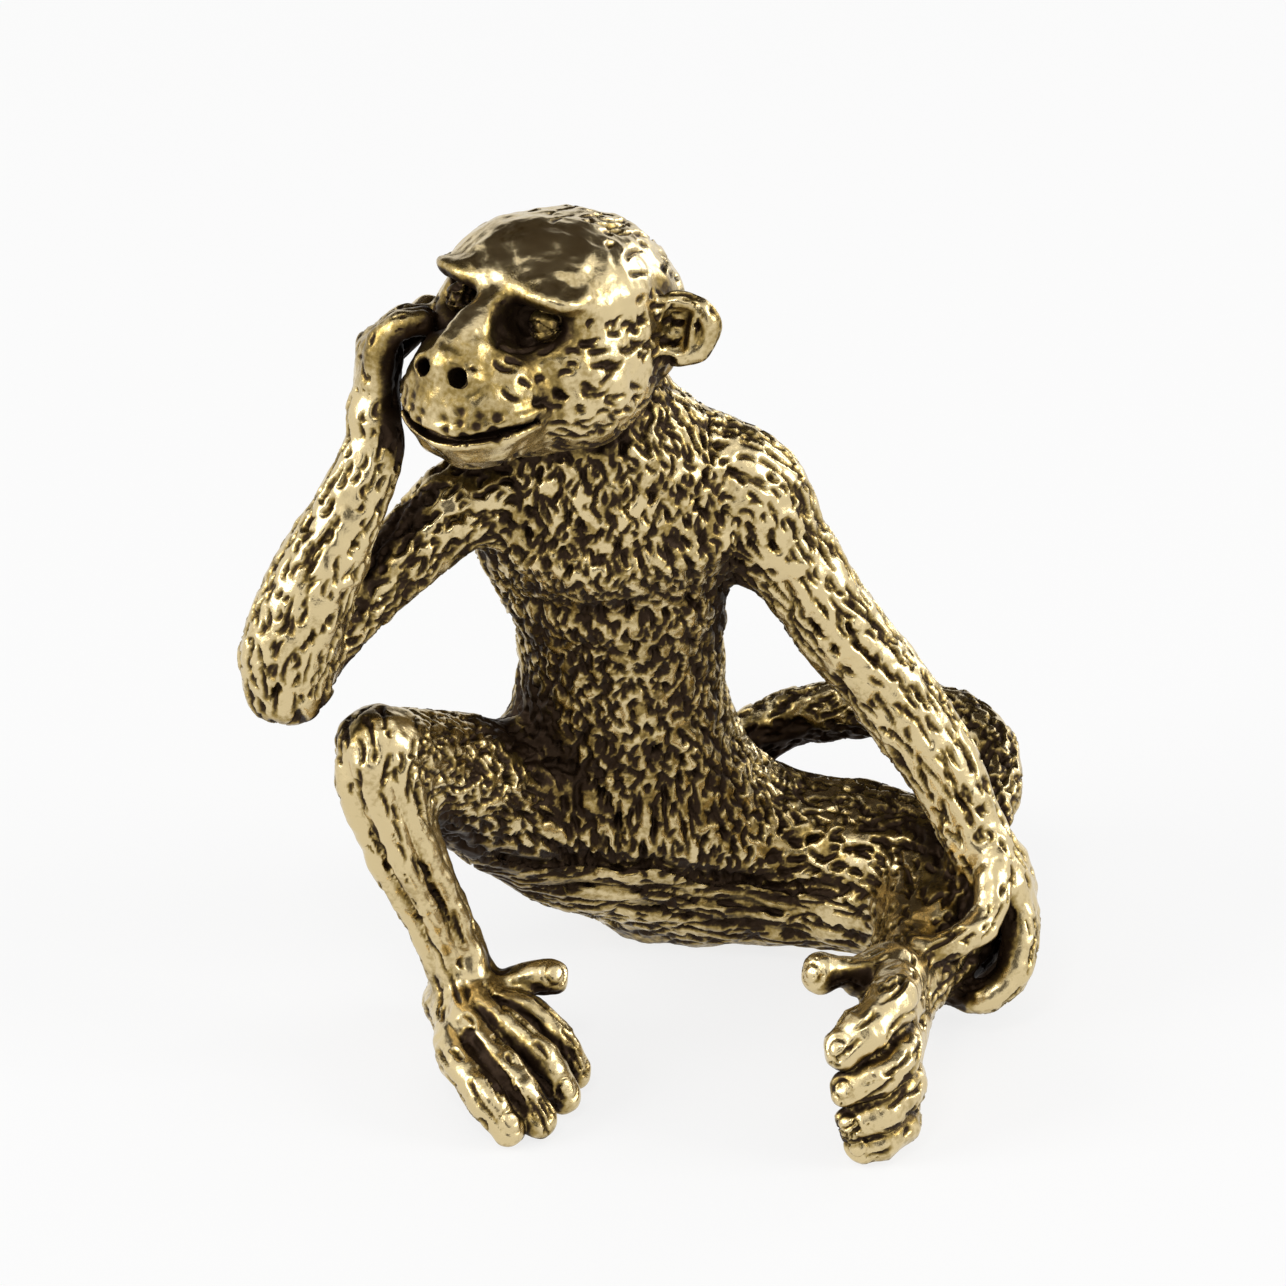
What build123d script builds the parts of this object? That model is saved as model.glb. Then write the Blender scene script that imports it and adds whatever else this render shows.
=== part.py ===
from build123d import *
from math import cos, pi, sin
import os

# Antique brass monkey, sitting with its cheek on its hand. Millimetres.
# X runs to the monkey's left, Y to its back and Z up. The seat and feet stand on Z = 0.
# The casting is modelled as the wax parts that its master is put together from.

# Driving dimensions: every place below is a share of these three
figure_width = 36.6
figure_depth = 29.4
figure_height = 41.3

# Body
torso_width = 5.0
torso_depth = 4.0

# Limbs, each the radius at its thick end
upper_arm_radius = 2.0
forearm_radius = 2.2
left_arm_radius = 2.7
right_thigh_radius = 3.3
right_shin_radius = 2.1
left_thigh_radius = 4.1
left_shin_radius = 3.5
tail_radius = 1.45

# Hands and feet: half the width and thickness of each palm and sole, and each digit's radius
right_palm_width = 2.4
right_palm_thickness = 1.25
left_palm_width = 2.3
left_palm_thickness = 1.3
finger_radius = 0.75
finger_fall = 0.6
thumb_radius = 0.8
right_sole_width = 2.2
right_sole_thickness = 1.7
left_sole_width = 3.2
left_sole_thickness = 1.5
right_toe_radius = 0.94
left_toe_radius = 0.92
big_toe_radius = 0.95

# Head, in its own frame with the face to the front
cranium_width = 10.2
cranium_depth = 11.6
cranium_height = 9.8
forehead_width = 10.4
forehead_depth = 10.0
forehead_height = 7.0
forehead_reach = 1.9
forehead_rise = 1.5
brow_height = 1.3
brow_slope = 7.5
face_width = 8.4
face_depth = 6.4
face_height = 7.4
face_reach = 3.4
muzzle_width = 6.8
muzzle_depth = 6.7
muzzle_height = 6.6
muzzle_reach = 6.0
muzzle_drop = 3.2
jaw_width = 7.4
jaw_depth = 8.0
jaw_height = 5.2
jaw_reach = 2.4
jaw_drop = 3.6
cheek_width = 3.6
cheek_depth = 5.4
cheek_height = 5.6
cheek_spread = 3.6
cheek_drop = 2.0
eye_spacing = 5.2
eye_height = 0.75
eye_reach = 5.25
eye_radius = 0.85
socket_radius = 1.3
nostril_radius = 0.42
nostril_spacing = 1.8
nostril_rise = 1.2
nostril_depth = 0.8
mouth_gap = 0.5
mouth_depth = 0.6
mouth_drop = 1.6
ear_height = 3.6
ear_length = 3.6
ear_thickness = 1.3
ear_hollow = 0.8
ear_spread = 5.5
ear_back = 0.9
ear_rise = 0.9
ear_flare = 52.0
head_turn = -40.0
head_tip = 20.0

# Where the middle of the skull is, as shares of the figure's width, depth and height
head_shares = (-0.090, 0.017, 0.862)

# Stations along each form. The first three numbers are shares of the figure's width, depth and
# height. The fourth is a share of the form's own radius or width, and a fifth, of its thickness.
torso_shares = (
    (0.045, 0.300, 0.000, 0.70, 0.62),
    (0.035, 0.297, 0.029, 0.94, 0.78),
    (0.010, 0.268, 0.085, 1.40, 1.15),
    (-0.016, 0.238, 0.169, 1.58, 1.40),
    (-0.022, 0.207, 0.254, 1.18, 1.22),
    (-0.025, 0.173, 0.339, 0.98, 1.08),
    (-0.027, 0.136, 0.436, 0.96, 1.03),
    (-0.041, 0.092, 0.533, 1.16, 1.10),
    (-0.049, 0.065, 0.617, 1.26, 1.08),
    (-0.051, 0.058, 0.690, 1.08, 0.97),
    (-0.060, 0.060, 0.751, 0.80, 0.87),
    (-0.077, 0.058, 0.799, 0.60, 0.80),
)
right_upper_arm_shares = (
    (-0.126, 0.037, 0.659, 0.95),
    (-0.208, 0.003, 0.644, 1.05),
    (-0.284, -0.044, 0.600, 0.92),
    (-0.355, -0.099, 0.552, 0.86),
    (-0.415, -0.150, 0.506, 0.84),
)
right_forearm_shares = (
    (-0.437, -0.187, 0.487, 0.90),
    (-0.434, -0.184, 0.530, 1.00),
    (-0.399, -0.167, 0.610, 0.94),
    (-0.358, -0.143, 0.688, 0.76),
    (-0.328, -0.122, 0.751, 0.62),
    (-0.328, -0.112, 0.785, 0.58),
)
left_arm_shares = (
    (0.049, 0.080, 0.672, 0.80),
    (0.126, 0.085, 0.634, 0.94),
    (0.161, 0.085, 0.571, 0.91),
    (0.197, 0.082, 0.523, 0.81),
    (0.251, 0.075, 0.450, 0.76),
    (0.311, 0.065, 0.380, 0.74),
    (0.372, 0.044, 0.300, 0.68),
    (0.410, 0.024, 0.228, 0.57),
    (0.434, 0.010, 0.179, 0.55),
)
right_thigh_shares = (
    (-0.082, 0.221, 0.145, 1.00),
    (-0.153, 0.139, 0.203, 1.00),
    (-0.224, 0.037, 0.281, 0.91),
    (-0.281, -0.065, 0.338, 0.76),
    (-0.320, -0.143, 0.382, 0.64),
)
right_shin_shares = (
    (-0.328, -0.165, 0.396, 0.97),
    (-0.322, -0.172, 0.360, 0.97),
    (-0.301, -0.167, 0.286, 0.88),
    (-0.265, -0.153, 0.203, 0.76),
    (-0.238, -0.143, 0.136, 0.67),
    (-0.221, -0.136, 0.092, 0.67),
)
left_thigh_shares = (
    (0.035, 0.262, 0.100, 0.84),
    (0.109, 0.255, 0.099, 0.98),
    (0.219, 0.235, 0.099, 0.99),
    (0.314, 0.187, 0.102, 0.95),
    (0.383, 0.126, 0.102, 0.88),
)
left_shin_shares = (
    (0.393, 0.099, 0.099, 1.00),
    (0.374, 0.024, 0.097, 0.86),
    (0.350, -0.058, 0.094, 0.69),
    (0.328, -0.139, 0.092, 0.57),
)
tail_shares = (
    (0.041, 0.341, 0.087, 1.16),
    (0.093, 0.432, 0.136, 1.04),
    (0.180, 0.456, 0.191, 0.97),
    (0.284, 0.432, 0.218, 0.97),
    (0.374, 0.371, 0.235, 0.97),
    (0.432, 0.282, 0.235, 0.93),
    (0.446, 0.194, 0.215, 0.86),
    (0.440, 0.126, 0.200, 0.76),
)
right_palm_shares = (
    (-0.325, -0.105, 0.772, 0.60),
    (-0.324, -0.071, 0.814, 0.88),
    (-0.320, -0.054, 0.847, 0.86),
)
right_finger_shares = (
    (-0.322, -0.119, 0.833, 1.00),
    (-0.320, -0.122, 0.869, 0.95),
    (-0.300, -0.119, 0.898, 0.90),
    (-0.270, -0.112, 0.902, 0.82),
)
right_thumb_shares = (
    (-0.325, -0.020, 0.809, 1.00),
    (-0.298, 0.037, 0.828, 1.00),
    (-0.262, 0.078, 0.847, 0.85),
)
left_palm_shares = (
    (0.434, 0.013, 0.208, 0.66),
    (0.456, 0.017, 0.174, 0.90),
    (0.467, 0.023, 0.140, 0.90),
)
left_finger_shares = (
    (
        (0.459, -0.010, 0.179, 1.05),
        (0.475, -0.040, 0.121, 1.10),
        (0.464, -0.068, 0.074, 1.08),
        (0.425, -0.082, 0.052, 1.02),
        (0.374, -0.045, 0.048, 0.95),
    ),
    (
        (0.464, 0.017, 0.165, 1.00),
        (0.481, -0.003, 0.107, 0.95),
        (0.470, -0.023, 0.058, 0.95),
        (0.440, -0.037, 0.031, 0.90),
    ),
    (
        (0.462, 0.060, 0.165, 1.00),
        (0.480, 0.050, 0.107, 0.95),
        (0.468, 0.040, 0.058, 0.95),
        (0.438, 0.033, 0.031, 0.90),
    ),
    (
        (0.455, 0.103, 0.165, 0.95),
        (0.472, 0.103, 0.116, 0.90),
        (0.462, 0.100, 0.073, 0.85),
        (0.440, 0.095, 0.048, 0.80),
    ),
)
left_thumb_shares = (
    (0.443, -0.030, 0.199, 1.00),
    (0.434, -0.084, 0.155, 1.00),
    (0.396, -0.124, 0.138, 0.95),
    (0.350, -0.144, 0.131, 0.85),
)
right_sole_shares = (
    (-0.226, -0.037, 0.032, 0.75),
    (-0.219, -0.105, 0.048, 0.92),
    (-0.204, -0.187, 0.064, 1.00),
    (-0.192, -0.269, 0.062, 0.92),
)
right_toe_shares = (
    (
        (-0.180, -0.205, 0.085, 1.00),
        (-0.140, -0.226, 0.080, 1.08),
        (-0.106, -0.243, 0.055, 1.00),
        (-0.084, -0.257, 0.021, 0.92),
    ),
    (
        (-0.198, -0.232, 0.085, 1.00),
        (-0.164, -0.272, 0.080, 1.10),
        (-0.124, -0.308, 0.056, 1.00),
        (-0.098, -0.328, 0.019, 0.94),
    ),
    (
        (-0.212, -0.255, 0.077, 1.00),
        (-0.194, -0.322, 0.078, 1.08),
        (-0.158, -0.368, 0.057, 1.00),
        (-0.128, -0.399, 0.019, 0.94),
    ),
    (
        (-0.220, -0.250, 0.065, 1.00),
        (-0.217, -0.346, 0.067, 1.04),
        (-0.194, -0.398, 0.050, 0.95),
        (-0.166, -0.424, 0.017, 0.88),
    ),
)
right_big_toe_shares = (
    (-0.186, -0.158, 0.087, 1.00),
    (-0.148, -0.164, 0.104, 0.95),
    (-0.110, -0.161, 0.107, 1.00),
)
left_sole_shares = (
    (0.333, -0.044, 0.073, 0.62),
    (0.328, -0.131, 0.085, 0.84),
    (0.317, -0.238, 0.087, 1.00),
    (0.306, -0.346, 0.085, 1.03),
)
left_toe_shares = (
    (
        (0.318, -0.300, 0.160, 1.00),
        (0.312, -0.380, 0.168, 1.08),
        (0.283, -0.440, 0.155, 1.05),
        (0.250, -0.466, 0.135, 0.98),
    ),
    (
        (0.316, -0.330, 0.115, 1.00),
        (0.322, -0.420, 0.118, 1.00),
        (0.296, -0.466, 0.108, 0.95),
        (0.256, -0.478, 0.092, 0.88),
    ),
    (
        (0.318, -0.335, 0.072, 1.00),
        (0.326, -0.424, 0.074, 1.00),
        (0.300, -0.468, 0.064, 0.95),
        (0.262, -0.480, 0.050, 0.88),
    ),
    (
        (0.318, -0.339, 0.025, 0.95),
        (0.322, -0.424, 0.027, 0.92),
        (0.302, -0.466, 0.022, 0.90),
        (0.275, -0.477, 0.017, 0.84),
    ),
)
left_big_toe_shares = (
    (0.306, -0.225, 0.145, 1.15),
    (0.275, -0.262, 0.150, 1.05),
    (0.250, -0.280, 0.160, 0.80),
    (0.226, -0.292, 0.162, 1.02),
)

# How a rounded end closes: how far out each ring is, and how wide, as shares of the radius
dome_shares = ((0.50, 0.87), (0.85, 0.53), (1.00, 0.16))
# The small flat that ends a ball
tip_share = 0.14
# How much each of four stations in a row counts at the middle of a smooth curve
curve_shares = (-0.0625, 0.5625, 0.5625, -0.0625)
# Sides of the carved sections
torso_sides = 22
limb_sides = 14
digit_sides = 9
skull_sides = 22
snout_sides = 18
small_sides = 12
# Four fingers lie side by side over the palm, from the cheek's front to its back
right_finger_count = 4
finger_pitch_share = 1.75


left_way = Vector(1, 0, 0)
back_way = Vector(0, 1, 0)
up_way = Vector(0, 0, 1)


def place(across, back, up):
    """A point from its shares of the figure's width, depth and height."""
    return Vector(across * figure_width, back * figure_depth, up * figure_height)


def flowing(stations):
    """The stations with one more between each two, on a smooth curve through them all."""
    rows = [(Vector(*station[:3]), Vector(station[3], station[-1], 0)) for station in stations]
    padded = [rows[0], *rows, rows[-1]]
    smooth = []
    for i, row in enumerate(rows[:-1]):
        near = zip(*padded[i : i + 4])
        between = [sum((value * share for value, share in zip(values, curve_shares)), Vector()) for values in near]
        smooth += [row, tuple(between)]
    return [*smooth, rows[-1]]


def ring(centre, run, wide, half_width, half_thickness, sides):
    """The corners of one oval section square to the run, with its long side along wide."""
    thin = run.cross(wide).normalized()
    side = thin.cross(run).normalized()
    turns = [2 * pi * number / sides for number in range(sides)]
    return [centre + side * (half_width * cos(turn)) + thin * (half_thickness * sin(turn)) for turn in turns]


def skinned(rings):
    """A closed solid over a run of sections, in flat faces as carved wax has."""
    faces = [Face(Wire.make_polygon(end, close=True)) for end in (rings[0], rings[-1])]
    for low, high in zip(rings, rings[1:]):
        for i in range(len(low)):
            for corners in ((low[i - 1], low[i], high[i]), (low[i - 1], high[i], high[i - 1])):
                faces.append(Face(Wire.make_polygon(corners, close=True)))
    return Solid(Shell(faces))


def form(stations, width, thickness, wide, sides, start_round=False, end_round=False, level=False):
    """A body, limb or foot skinned over oval sections, with flat or rounded ends."""
    smooth = flowing(stations)
    centres = [place(*at) for at, _ in smooth]
    halves = [(width * full.X, thickness * full.Y) for _, full in smooth]
    last = len(centres) - 1
    rings = []
    for i, centre in enumerate(centres):
        run = up_way if level else centres[min(i + 1, last)] - centres[max(i - 1, 0)]
        rings.append(ring(centre, run, wide, *halves[i], sides))
    if start_round:
        back = centres[1] - centres[0]
        rings = dome(centres[0], back, -1, wide, *halves[0], sides)[::-1] + rings
    if end_round:
        ahead = centres[last] - centres[last - 1]
        rings += dome(centres[last], ahead, 1, wide, *halves[last], sides)
    return skinned(rings)


def dome(centre, run, way, wide, half_width, half_thickness, sides):
    """The shrinking rings that close a rounded end beyond its last station."""
    out = run.normalized() * min(half_width, half_thickness) * way
    return [
        ring(centre + out * far, run, wide, half_width * full, half_thickness * full, sides)
        for far, full in dome_shares
    ]


def rod(stations, radius, wide, sides, start_round=False, end_round=False):
    """A form with round sections."""
    return form(stations, radius, radius, wide, sides, start_round, end_round)


def egg(width, depth, height, sides):
    """A ball drawn out to three sizes across, as a stack of oval rings."""
    rings = []
    levels = sides // 2
    for level in range(levels + 1):
        turn = pi * level / levels
        full = max(sin(turn), tip_share)
        centre = Vector(0, 0, -height / 2 * cos(turn))
        rings.append(ring(centre, up_way, left_way, width / 2 * full, depth / 2 * full, sides))
    return skinned(rings)


def shifted(stations, across=0, back=0, up=0):
    """The same stations moved by lengths, as shares of the three driving dimensions."""
    return tuple(
        (x + across / figure_width, y + back / figure_depth, z + up / figure_height, swell)
        for x, y, z, swell in stations
    )


def seated(raw, *carriers):
    """Cuts a form back to the faces of the pieces that it grows from, and to the ground."""
    ground = Pos(0, 0, -figure_height / 2) * Box(figure_width * 2, figure_depth * 2, figure_height)
    piece = raw - (ground, *carriers)
    return piece.solids().sort_by(SortBy.VOLUME)[-1]


def make_head():
    """Skull, overhanging brow, face, snout and ears, made facing forward and then turned on the neck."""
    skull = egg(cranium_width, cranium_depth, cranium_height, skull_sides)
    forehead_at = Pos(0, -forehead_reach, forehead_rise)
    forehead = forehead_at * egg(forehead_width, forehead_depth, forehead_height, skull_sides)
    above = Box(cranium_width * 2, cranium_depth * 2, cranium_height * 2)
    above_brow = Pos(0, 0, brow_height) * Rot(X=-brow_slope) * Pos(0, 0, cranium_height) * above
    face = Pos(0, -face_reach, 0) * egg(face_width, face_depth, face_height, snout_sides)
    snout_at = Pos(0, -muzzle_reach, -muzzle_drop)
    snout = snout_at * egg(muzzle_width, muzzle_depth, muzzle_height, snout_sides)
    jaw = Pos(0, -jaw_reach, -jaw_drop) * egg(jaw_width, jaw_depth, jaw_height, snout_sides)
    cheeks = [
        Pos(side * cheek_spread, -jaw_reach, -cheek_drop) * egg(cheek_width, cheek_depth, cheek_height, small_sides)
        for side in (-1, 1)
    ]
    head = skull + [face, snout, jaw, *cheeks]
    cuts = []
    for side in (-1, 1):
        socket = egg(socket_radius * 2, socket_radius * 2, socket_radius * 2, small_sides)
        cuts.append(Pos(side * eye_spacing / 2, -eye_reach - eye_radius, eye_height) * socket)
        nostril = Rot(X=90) * Cylinder(nostril_radius, nostril_depth * 2)
        nose_front = muzzle_reach + muzzle_depth / 2
        cuts.append(Pos(side * nostril_spacing / 2, -nose_front, nostril_rise - muzzle_drop) * nostril)
    lips = egg(muzzle_width + mouth_gap, muzzle_depth + mouth_gap, mouth_gap, snout_sides)
    teeth = egg(muzzle_width - mouth_depth * 2, muzzle_depth - mouth_depth * 2, mouth_gap * 2, snout_sides)
    cuts.append(snout_at * Pos(0, 0, -mouth_drop) * (lips - teeth))
    head = head - cuts
    eyes = [
        Pos(side * eye_spacing / 2, -eye_reach, eye_height)
        * egg(eye_radius * 2, eye_radius * 2, eye_radius * 2, small_sides)
        for side in (-1, 1)
    ]
    ears = [
        Pos(side * ear_spread, ear_back, ear_rise) * Rot(Z=-side * ear_flare) * make_ear(side) for side in (-1, 1)
    ]
    head = head + [forehead & above_brow, *eyes, *ears]
    return Pos(*place(*head_shares)) * Rot(Z=head_turn) * Rot(X=-head_tip) * head


def make_ear(side):
    """A round flap with a hollow in the face that looks outward."""
    flap = egg(ear_thickness, ear_length, ear_height, snout_sides)
    hollow = egg(ear_hollow * 2, ear_length / 2, ear_height / 2, small_sides)
    return flap - Pos(side * ear_thickness / 2, 0, 0) * hollow


def make_right_hand():
    """The hand that holds up the cheek: palm on the jaw, fingers up beside the eye."""
    palm = form(right_palm_shares, right_palm_width, right_palm_thickness, back_way, limb_sides, end_round=True)
    digits = [rod(right_thumb_shares, thumb_radius, left_way, digit_sides, end_round=True)]
    for finger in range(right_finger_count):
        step = finger * finger_pitch_share * finger_radius
        row = shifted(right_finger_shares, back=step, up=-finger * finger_fall)
        digits.append(rod(row, finger_radius, back_way, digit_sides, end_round=True))
    return palm + digits


def make_left_hand():
    """The hand draped over the knee, with curled fingers outside and the thumb in front."""
    palm = form(left_palm_shares, left_palm_width, left_palm_thickness, back_way, limb_sides, end_round=True)
    digits = [rod(stations, finger_radius, back_way, digit_sides, end_round=True) for stations in left_finger_shares]
    return palm + [*digits, rod(left_thumb_shares, thumb_radius, up_way, digit_sides, end_round=True)]


def make_foot(sole_shares, width, thickness, wide, toes, toe_radius, big_toe_shares):
    """A grasping foot: a sole, four toes in a row and a big toe that stands apart."""
    sole = form(sole_shares, width, thickness, wide, limb_sides, start_round=True, end_round=True)
    digits = [rod(stations, toe_radius, left_way, digit_sides, end_round=True) for stations in toes]
    return sole + [*digits, rod(big_toe_shares, big_toe_radius, up_way, digit_sides, end_round=True)]


torso = seated(form(torso_shares, torso_width, torso_depth, left_way, torso_sides, level=True))
head = seated(make_head(), torso)
right_thigh = seated(rod(right_thigh_shares, right_thigh_radius, left_way, limb_sides), torso)
left_thigh = seated(rod(left_thigh_shares, left_thigh_radius, up_way, limb_sides), torso, right_thigh)
right_shin = seated(rod(right_shin_shares, right_shin_radius, left_way, limb_sides, start_round=True), right_thigh)
left_shin = seated(rod(left_shin_shares, left_shin_radius, up_way, limb_sides, start_round=True), left_thigh)
right_forearm = seated(
    rod(right_forearm_shares, forearm_radius, left_way, limb_sides, start_round=True), right_shin, right_thigh, head
)
right_upper_arm = seated(
    rod(right_upper_arm_shares, upper_arm_radius, up_way, limb_sides), torso, right_forearm, head, right_shin, right_thigh
)
left_arm = seated(rod(left_arm_shares, left_arm_radius, back_way, limb_sides), torso, head, left_thigh, left_shin)
right_hand = seated(make_right_hand(), right_forearm, head)
right_foot = seated(
    make_foot(
        right_sole_shares,
        right_sole_width,
        right_sole_thickness,
        left_way,
        right_toe_shares,
        right_toe_radius,
        right_big_toe_shares,
    ),
    right_shin,
)
left_foot = seated(
    make_foot(
        left_sole_shares,
        left_sole_width,
        left_sole_thickness,
        up_way,
        left_toe_shares,
        left_toe_radius,
        left_big_toe_shares,
    ),
    left_shin,
)
left_hand = seated(make_left_hand(), left_arm, left_shin, left_thigh, left_foot)
tail = seated(
    rod(tail_shares, tail_radius, up_way, limb_sides, end_round=True), torso, left_thigh, left_arm, left_hand
)

pieces = {
    "torso": torso,
    "head": head,
    "right_upper_arm": right_upper_arm,
    "right_forearm": right_forearm,
    "right_hand": right_hand,
    "left_arm": left_arm,
    "left_hand": left_hand,
    "right_thigh": right_thigh,
    "right_shin": right_shin,
    "right_foot": right_foot,
    "left_thigh": left_thigh,
    "left_shin": left_shin,
    "left_foot": left_foot,
    "tail": tail,
}

# The origin is under the middle of the whole figure
footprint = Compound(list(pieces.values())).bounding_box()
to_middle = Pos(-footprint.center().X, -footprint.center().Y, 0)

os.makedirs("parts", exist_ok=True)
for name, piece in pieces.items():
    export_step(to_middle * piece, f"parts/{name}.step")
print("figure", footprint.size, "moved", footprint.center())
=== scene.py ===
# %% [markdown]
# # A brass monkey, sculpted and patinated
# The real object is one small casting, about 41 mm tall. A maker models it in wax, casts it in brass,
# blackens the whole casting and rubs the high spots bright again. This lesson takes the same steps:
# it sculpts smooth wax forms, presses the fur into them, and then colours the metal by how sheltered
# each spot is, adding painted shade on the face's front and on down-facing surfaces. It starts from
# the imported CAD model, which stays fixed and gives every place.

# %% Load the fixed frame
import bpy
import numpy as np
from concurrent.futures import ThreadPoolExecutor
from itertools import product
from math import cos, pi, radians, sin
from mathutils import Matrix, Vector


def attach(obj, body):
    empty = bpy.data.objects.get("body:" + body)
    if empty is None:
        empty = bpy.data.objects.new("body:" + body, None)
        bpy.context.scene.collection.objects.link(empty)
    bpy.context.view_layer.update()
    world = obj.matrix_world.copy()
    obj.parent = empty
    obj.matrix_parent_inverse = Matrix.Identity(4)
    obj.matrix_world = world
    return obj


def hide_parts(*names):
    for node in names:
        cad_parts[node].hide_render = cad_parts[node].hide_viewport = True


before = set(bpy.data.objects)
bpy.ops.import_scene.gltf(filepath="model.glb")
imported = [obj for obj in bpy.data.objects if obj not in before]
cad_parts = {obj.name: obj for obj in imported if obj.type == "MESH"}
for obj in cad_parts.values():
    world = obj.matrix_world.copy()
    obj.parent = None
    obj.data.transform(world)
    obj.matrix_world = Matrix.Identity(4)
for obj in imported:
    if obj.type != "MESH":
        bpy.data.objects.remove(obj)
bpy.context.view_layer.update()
nodes = sorted(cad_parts)

# %% [markdown]
# ## Wax: one field of distances
# Limbs could be tubes that are joined and smoothed, but their joints would pinch. Wax flows together, so
# each form here is a rule that says how far a point is from its surface. Two such distances can be
# blended softly, and the skin is drawn afterwards, where the blended distance is zero.
# All the sculpting is in millimetres.

# %% Sizes that the whole sculpt uses
figure = np.array((36.6, 29.4, 41.3))
middle = np.array((0.0965, -0.0629, 0.0))
voxel = 0.11
cores = 4
print("figure", figure, "mm, voxel", voxel, "mm")


# %% A smooth run of stations
def placed(shares):
    """Stations in millimetres from shares of the figure's width, depth and height."""
    rows = np.array(shares, float)
    rows[:, :3] = rows[:, :3] * figure - middle
    return rows


def flowing(rows, steps):
    """More stations, on a smooth curve through the given ones."""
    ends = np.vstack((2 * rows[0] - rows[1], rows, 2 * rows[-1] - rows[-2]))
    out = []
    for a, b, c, d in zip(ends, ends[1:], ends[2:], ends[3:]):
        for step in range(steps):
            t = step / steps
            bent = (2 * a - 5 * b + 4 * c - d) * t**2
            out.append(0.5 * (2 * b + (c - a) * t + bent + (3 * b - a - 3 * c + d) * t**3))
    return np.vstack(out + [rows[-1]])


# %% Distances to a limb and to a ball
def from_oval(away, halves):
    """How far points are from an oval: away is the way to them from its middle, halves its half sizes."""
    near = np.sqrt(((away / halves) ** 2).sum(1)) + 1e-6
    steep = np.sqrt(((away / halves**2) ** 2).sum(1)) + 1e-6
    return near * (near - 1) / steep


def from_ball(points, centre, halves):
    """How far points are from a ball drawn out to three half sizes."""
    return from_oval(points - np.array(centre, np.float32), np.array(halves, np.float32))


def read_rows(rows, at):
    """The values of a table at row numbers that may lie between two rows."""
    return np.stack([np.interp(at, np.arange(len(rows)), column) for column in rows.T], -1)


def along_limb(points, rows, width, thickness, wide, level=False, ridges=(0, 0.0, 0.0)):
    """How far points are from a limb with oval sections, and which way the limb runs there.

    Ridges along the limb are given as how many, how high and where the first one lies.
    """
    places = rows[:, :3]
    slopes = np.gradient(places, axis=0)
    counts = np.arange(len(rows))
    if level:
        at = np.interp(points[:, 2], places[:, 2], counts)
    else:
        best = np.full(len(points), 9e9, np.float32)
        at = np.zeros(len(points), np.float32)
        for number, (start, stop) in enumerate(zip(places, places[1:])):
            run = (stop - start).astype(np.float32)
            away = points - start.astype(np.float32)
            share = np.clip(away @ run / (run @ run), 0, 1)
            away -= share[:, None] * run
            gap = (away**2).sum(1)
            closer = gap < best
            best[closer] = gap[closer]
            at[closer] = (number + share)[closer]
    for _ in range(0 if level else 3):
        centre, run = read_rows(places, at), read_rows(slopes, at)
        at = np.clip(at + 0.8 * ((points - centre) * run).sum(1) / (run**2).sum(1), 0, len(rows) - 1)
    centre, run = read_rows(places, at), read_rows(slopes, at)
    run = run / np.linalg.norm(run, axis=1, keepdims=True)
    axis = np.array((0.0, 0.0, 1.0)) * np.ones((len(points), 1)) if level else run
    side = wide - axis * (axis @ wide)[:, None]
    side = side / np.linalg.norm(side, axis=1, keepdims=True)
    thin = np.cross(axis, side)
    away = points - centre
    a = width * np.interp(at, counts, rows[:, 3])
    b = thickness * np.interp(at, counts, rows[:, -1])
    parts = np.stack([(away * way).sum(1) for way in (side, thin, axis)], -1)
    far = from_oval(parts, np.stack((a, b, np.minimum(a, b)), -1))
    if level:
        flare = np.gradient(rows[:, 3] * width) / slopes[:, 2]
        far = far * np.interp(at, counts, 1 / np.sqrt(1 + flare**2))
    number, height, phase = ridges
    if number:
        around = np.arctan2(parts[:, 1], parts[:, 0])
        middle_share = np.sin(pi * np.clip(at / (len(rows) - 1), 0, 1)) ** 0.5
        tendon = 2 * np.abs(np.cos(number / 2 * around + phase + 1.2 * np.sin(3.0 * at / len(rows)))) - 1
        far = far - height * middle_share * tendon
    return far.astype(np.float32), run.astype(np.float32)


def melt(a, b, soft):
    """Joins two forms as soft wax does, over a blend of that size."""
    mix = np.maximum(soft - np.abs(a - b), 0) / soft
    return np.minimum(a, b) - mix * mix * soft / 4


def scoop(a, b, soft):
    """Takes form b out of form a, with a soft rim."""
    return -melt(-a, b, soft)


# %% Limits with soft ends
def rising(values, start, soft):
    """Zero up to the start, and one from soft beyond it."""
    return np.clip((values - start) / soft, 0, 1)


def falling(values, stop, soft):
    """One until soft before the stop, and zero from there on."""
    return np.clip((stop - values) / soft, 0, 1)


def between(values, low, high, soft):
    """One between two limits, with soft ends."""
    return rising(values, low, soft) * falling(values, high, soft)


def ripple(values, at, width):
    """One where values equal at, falling off softly over width."""
    return np.exp(-(((values - at) / width) ** 2))


# %% [markdown]
# ## The body's forms
# The stations are the CAD part's own, so the sculpt stays inside the frame. Each row is a place, as
# shares of the figure's width, depth and height, and then how full the form is there. The script puts
# a smooth curve through them, where the CAD part has flat facets.

# %% Trunk and limbs
forms = []


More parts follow.
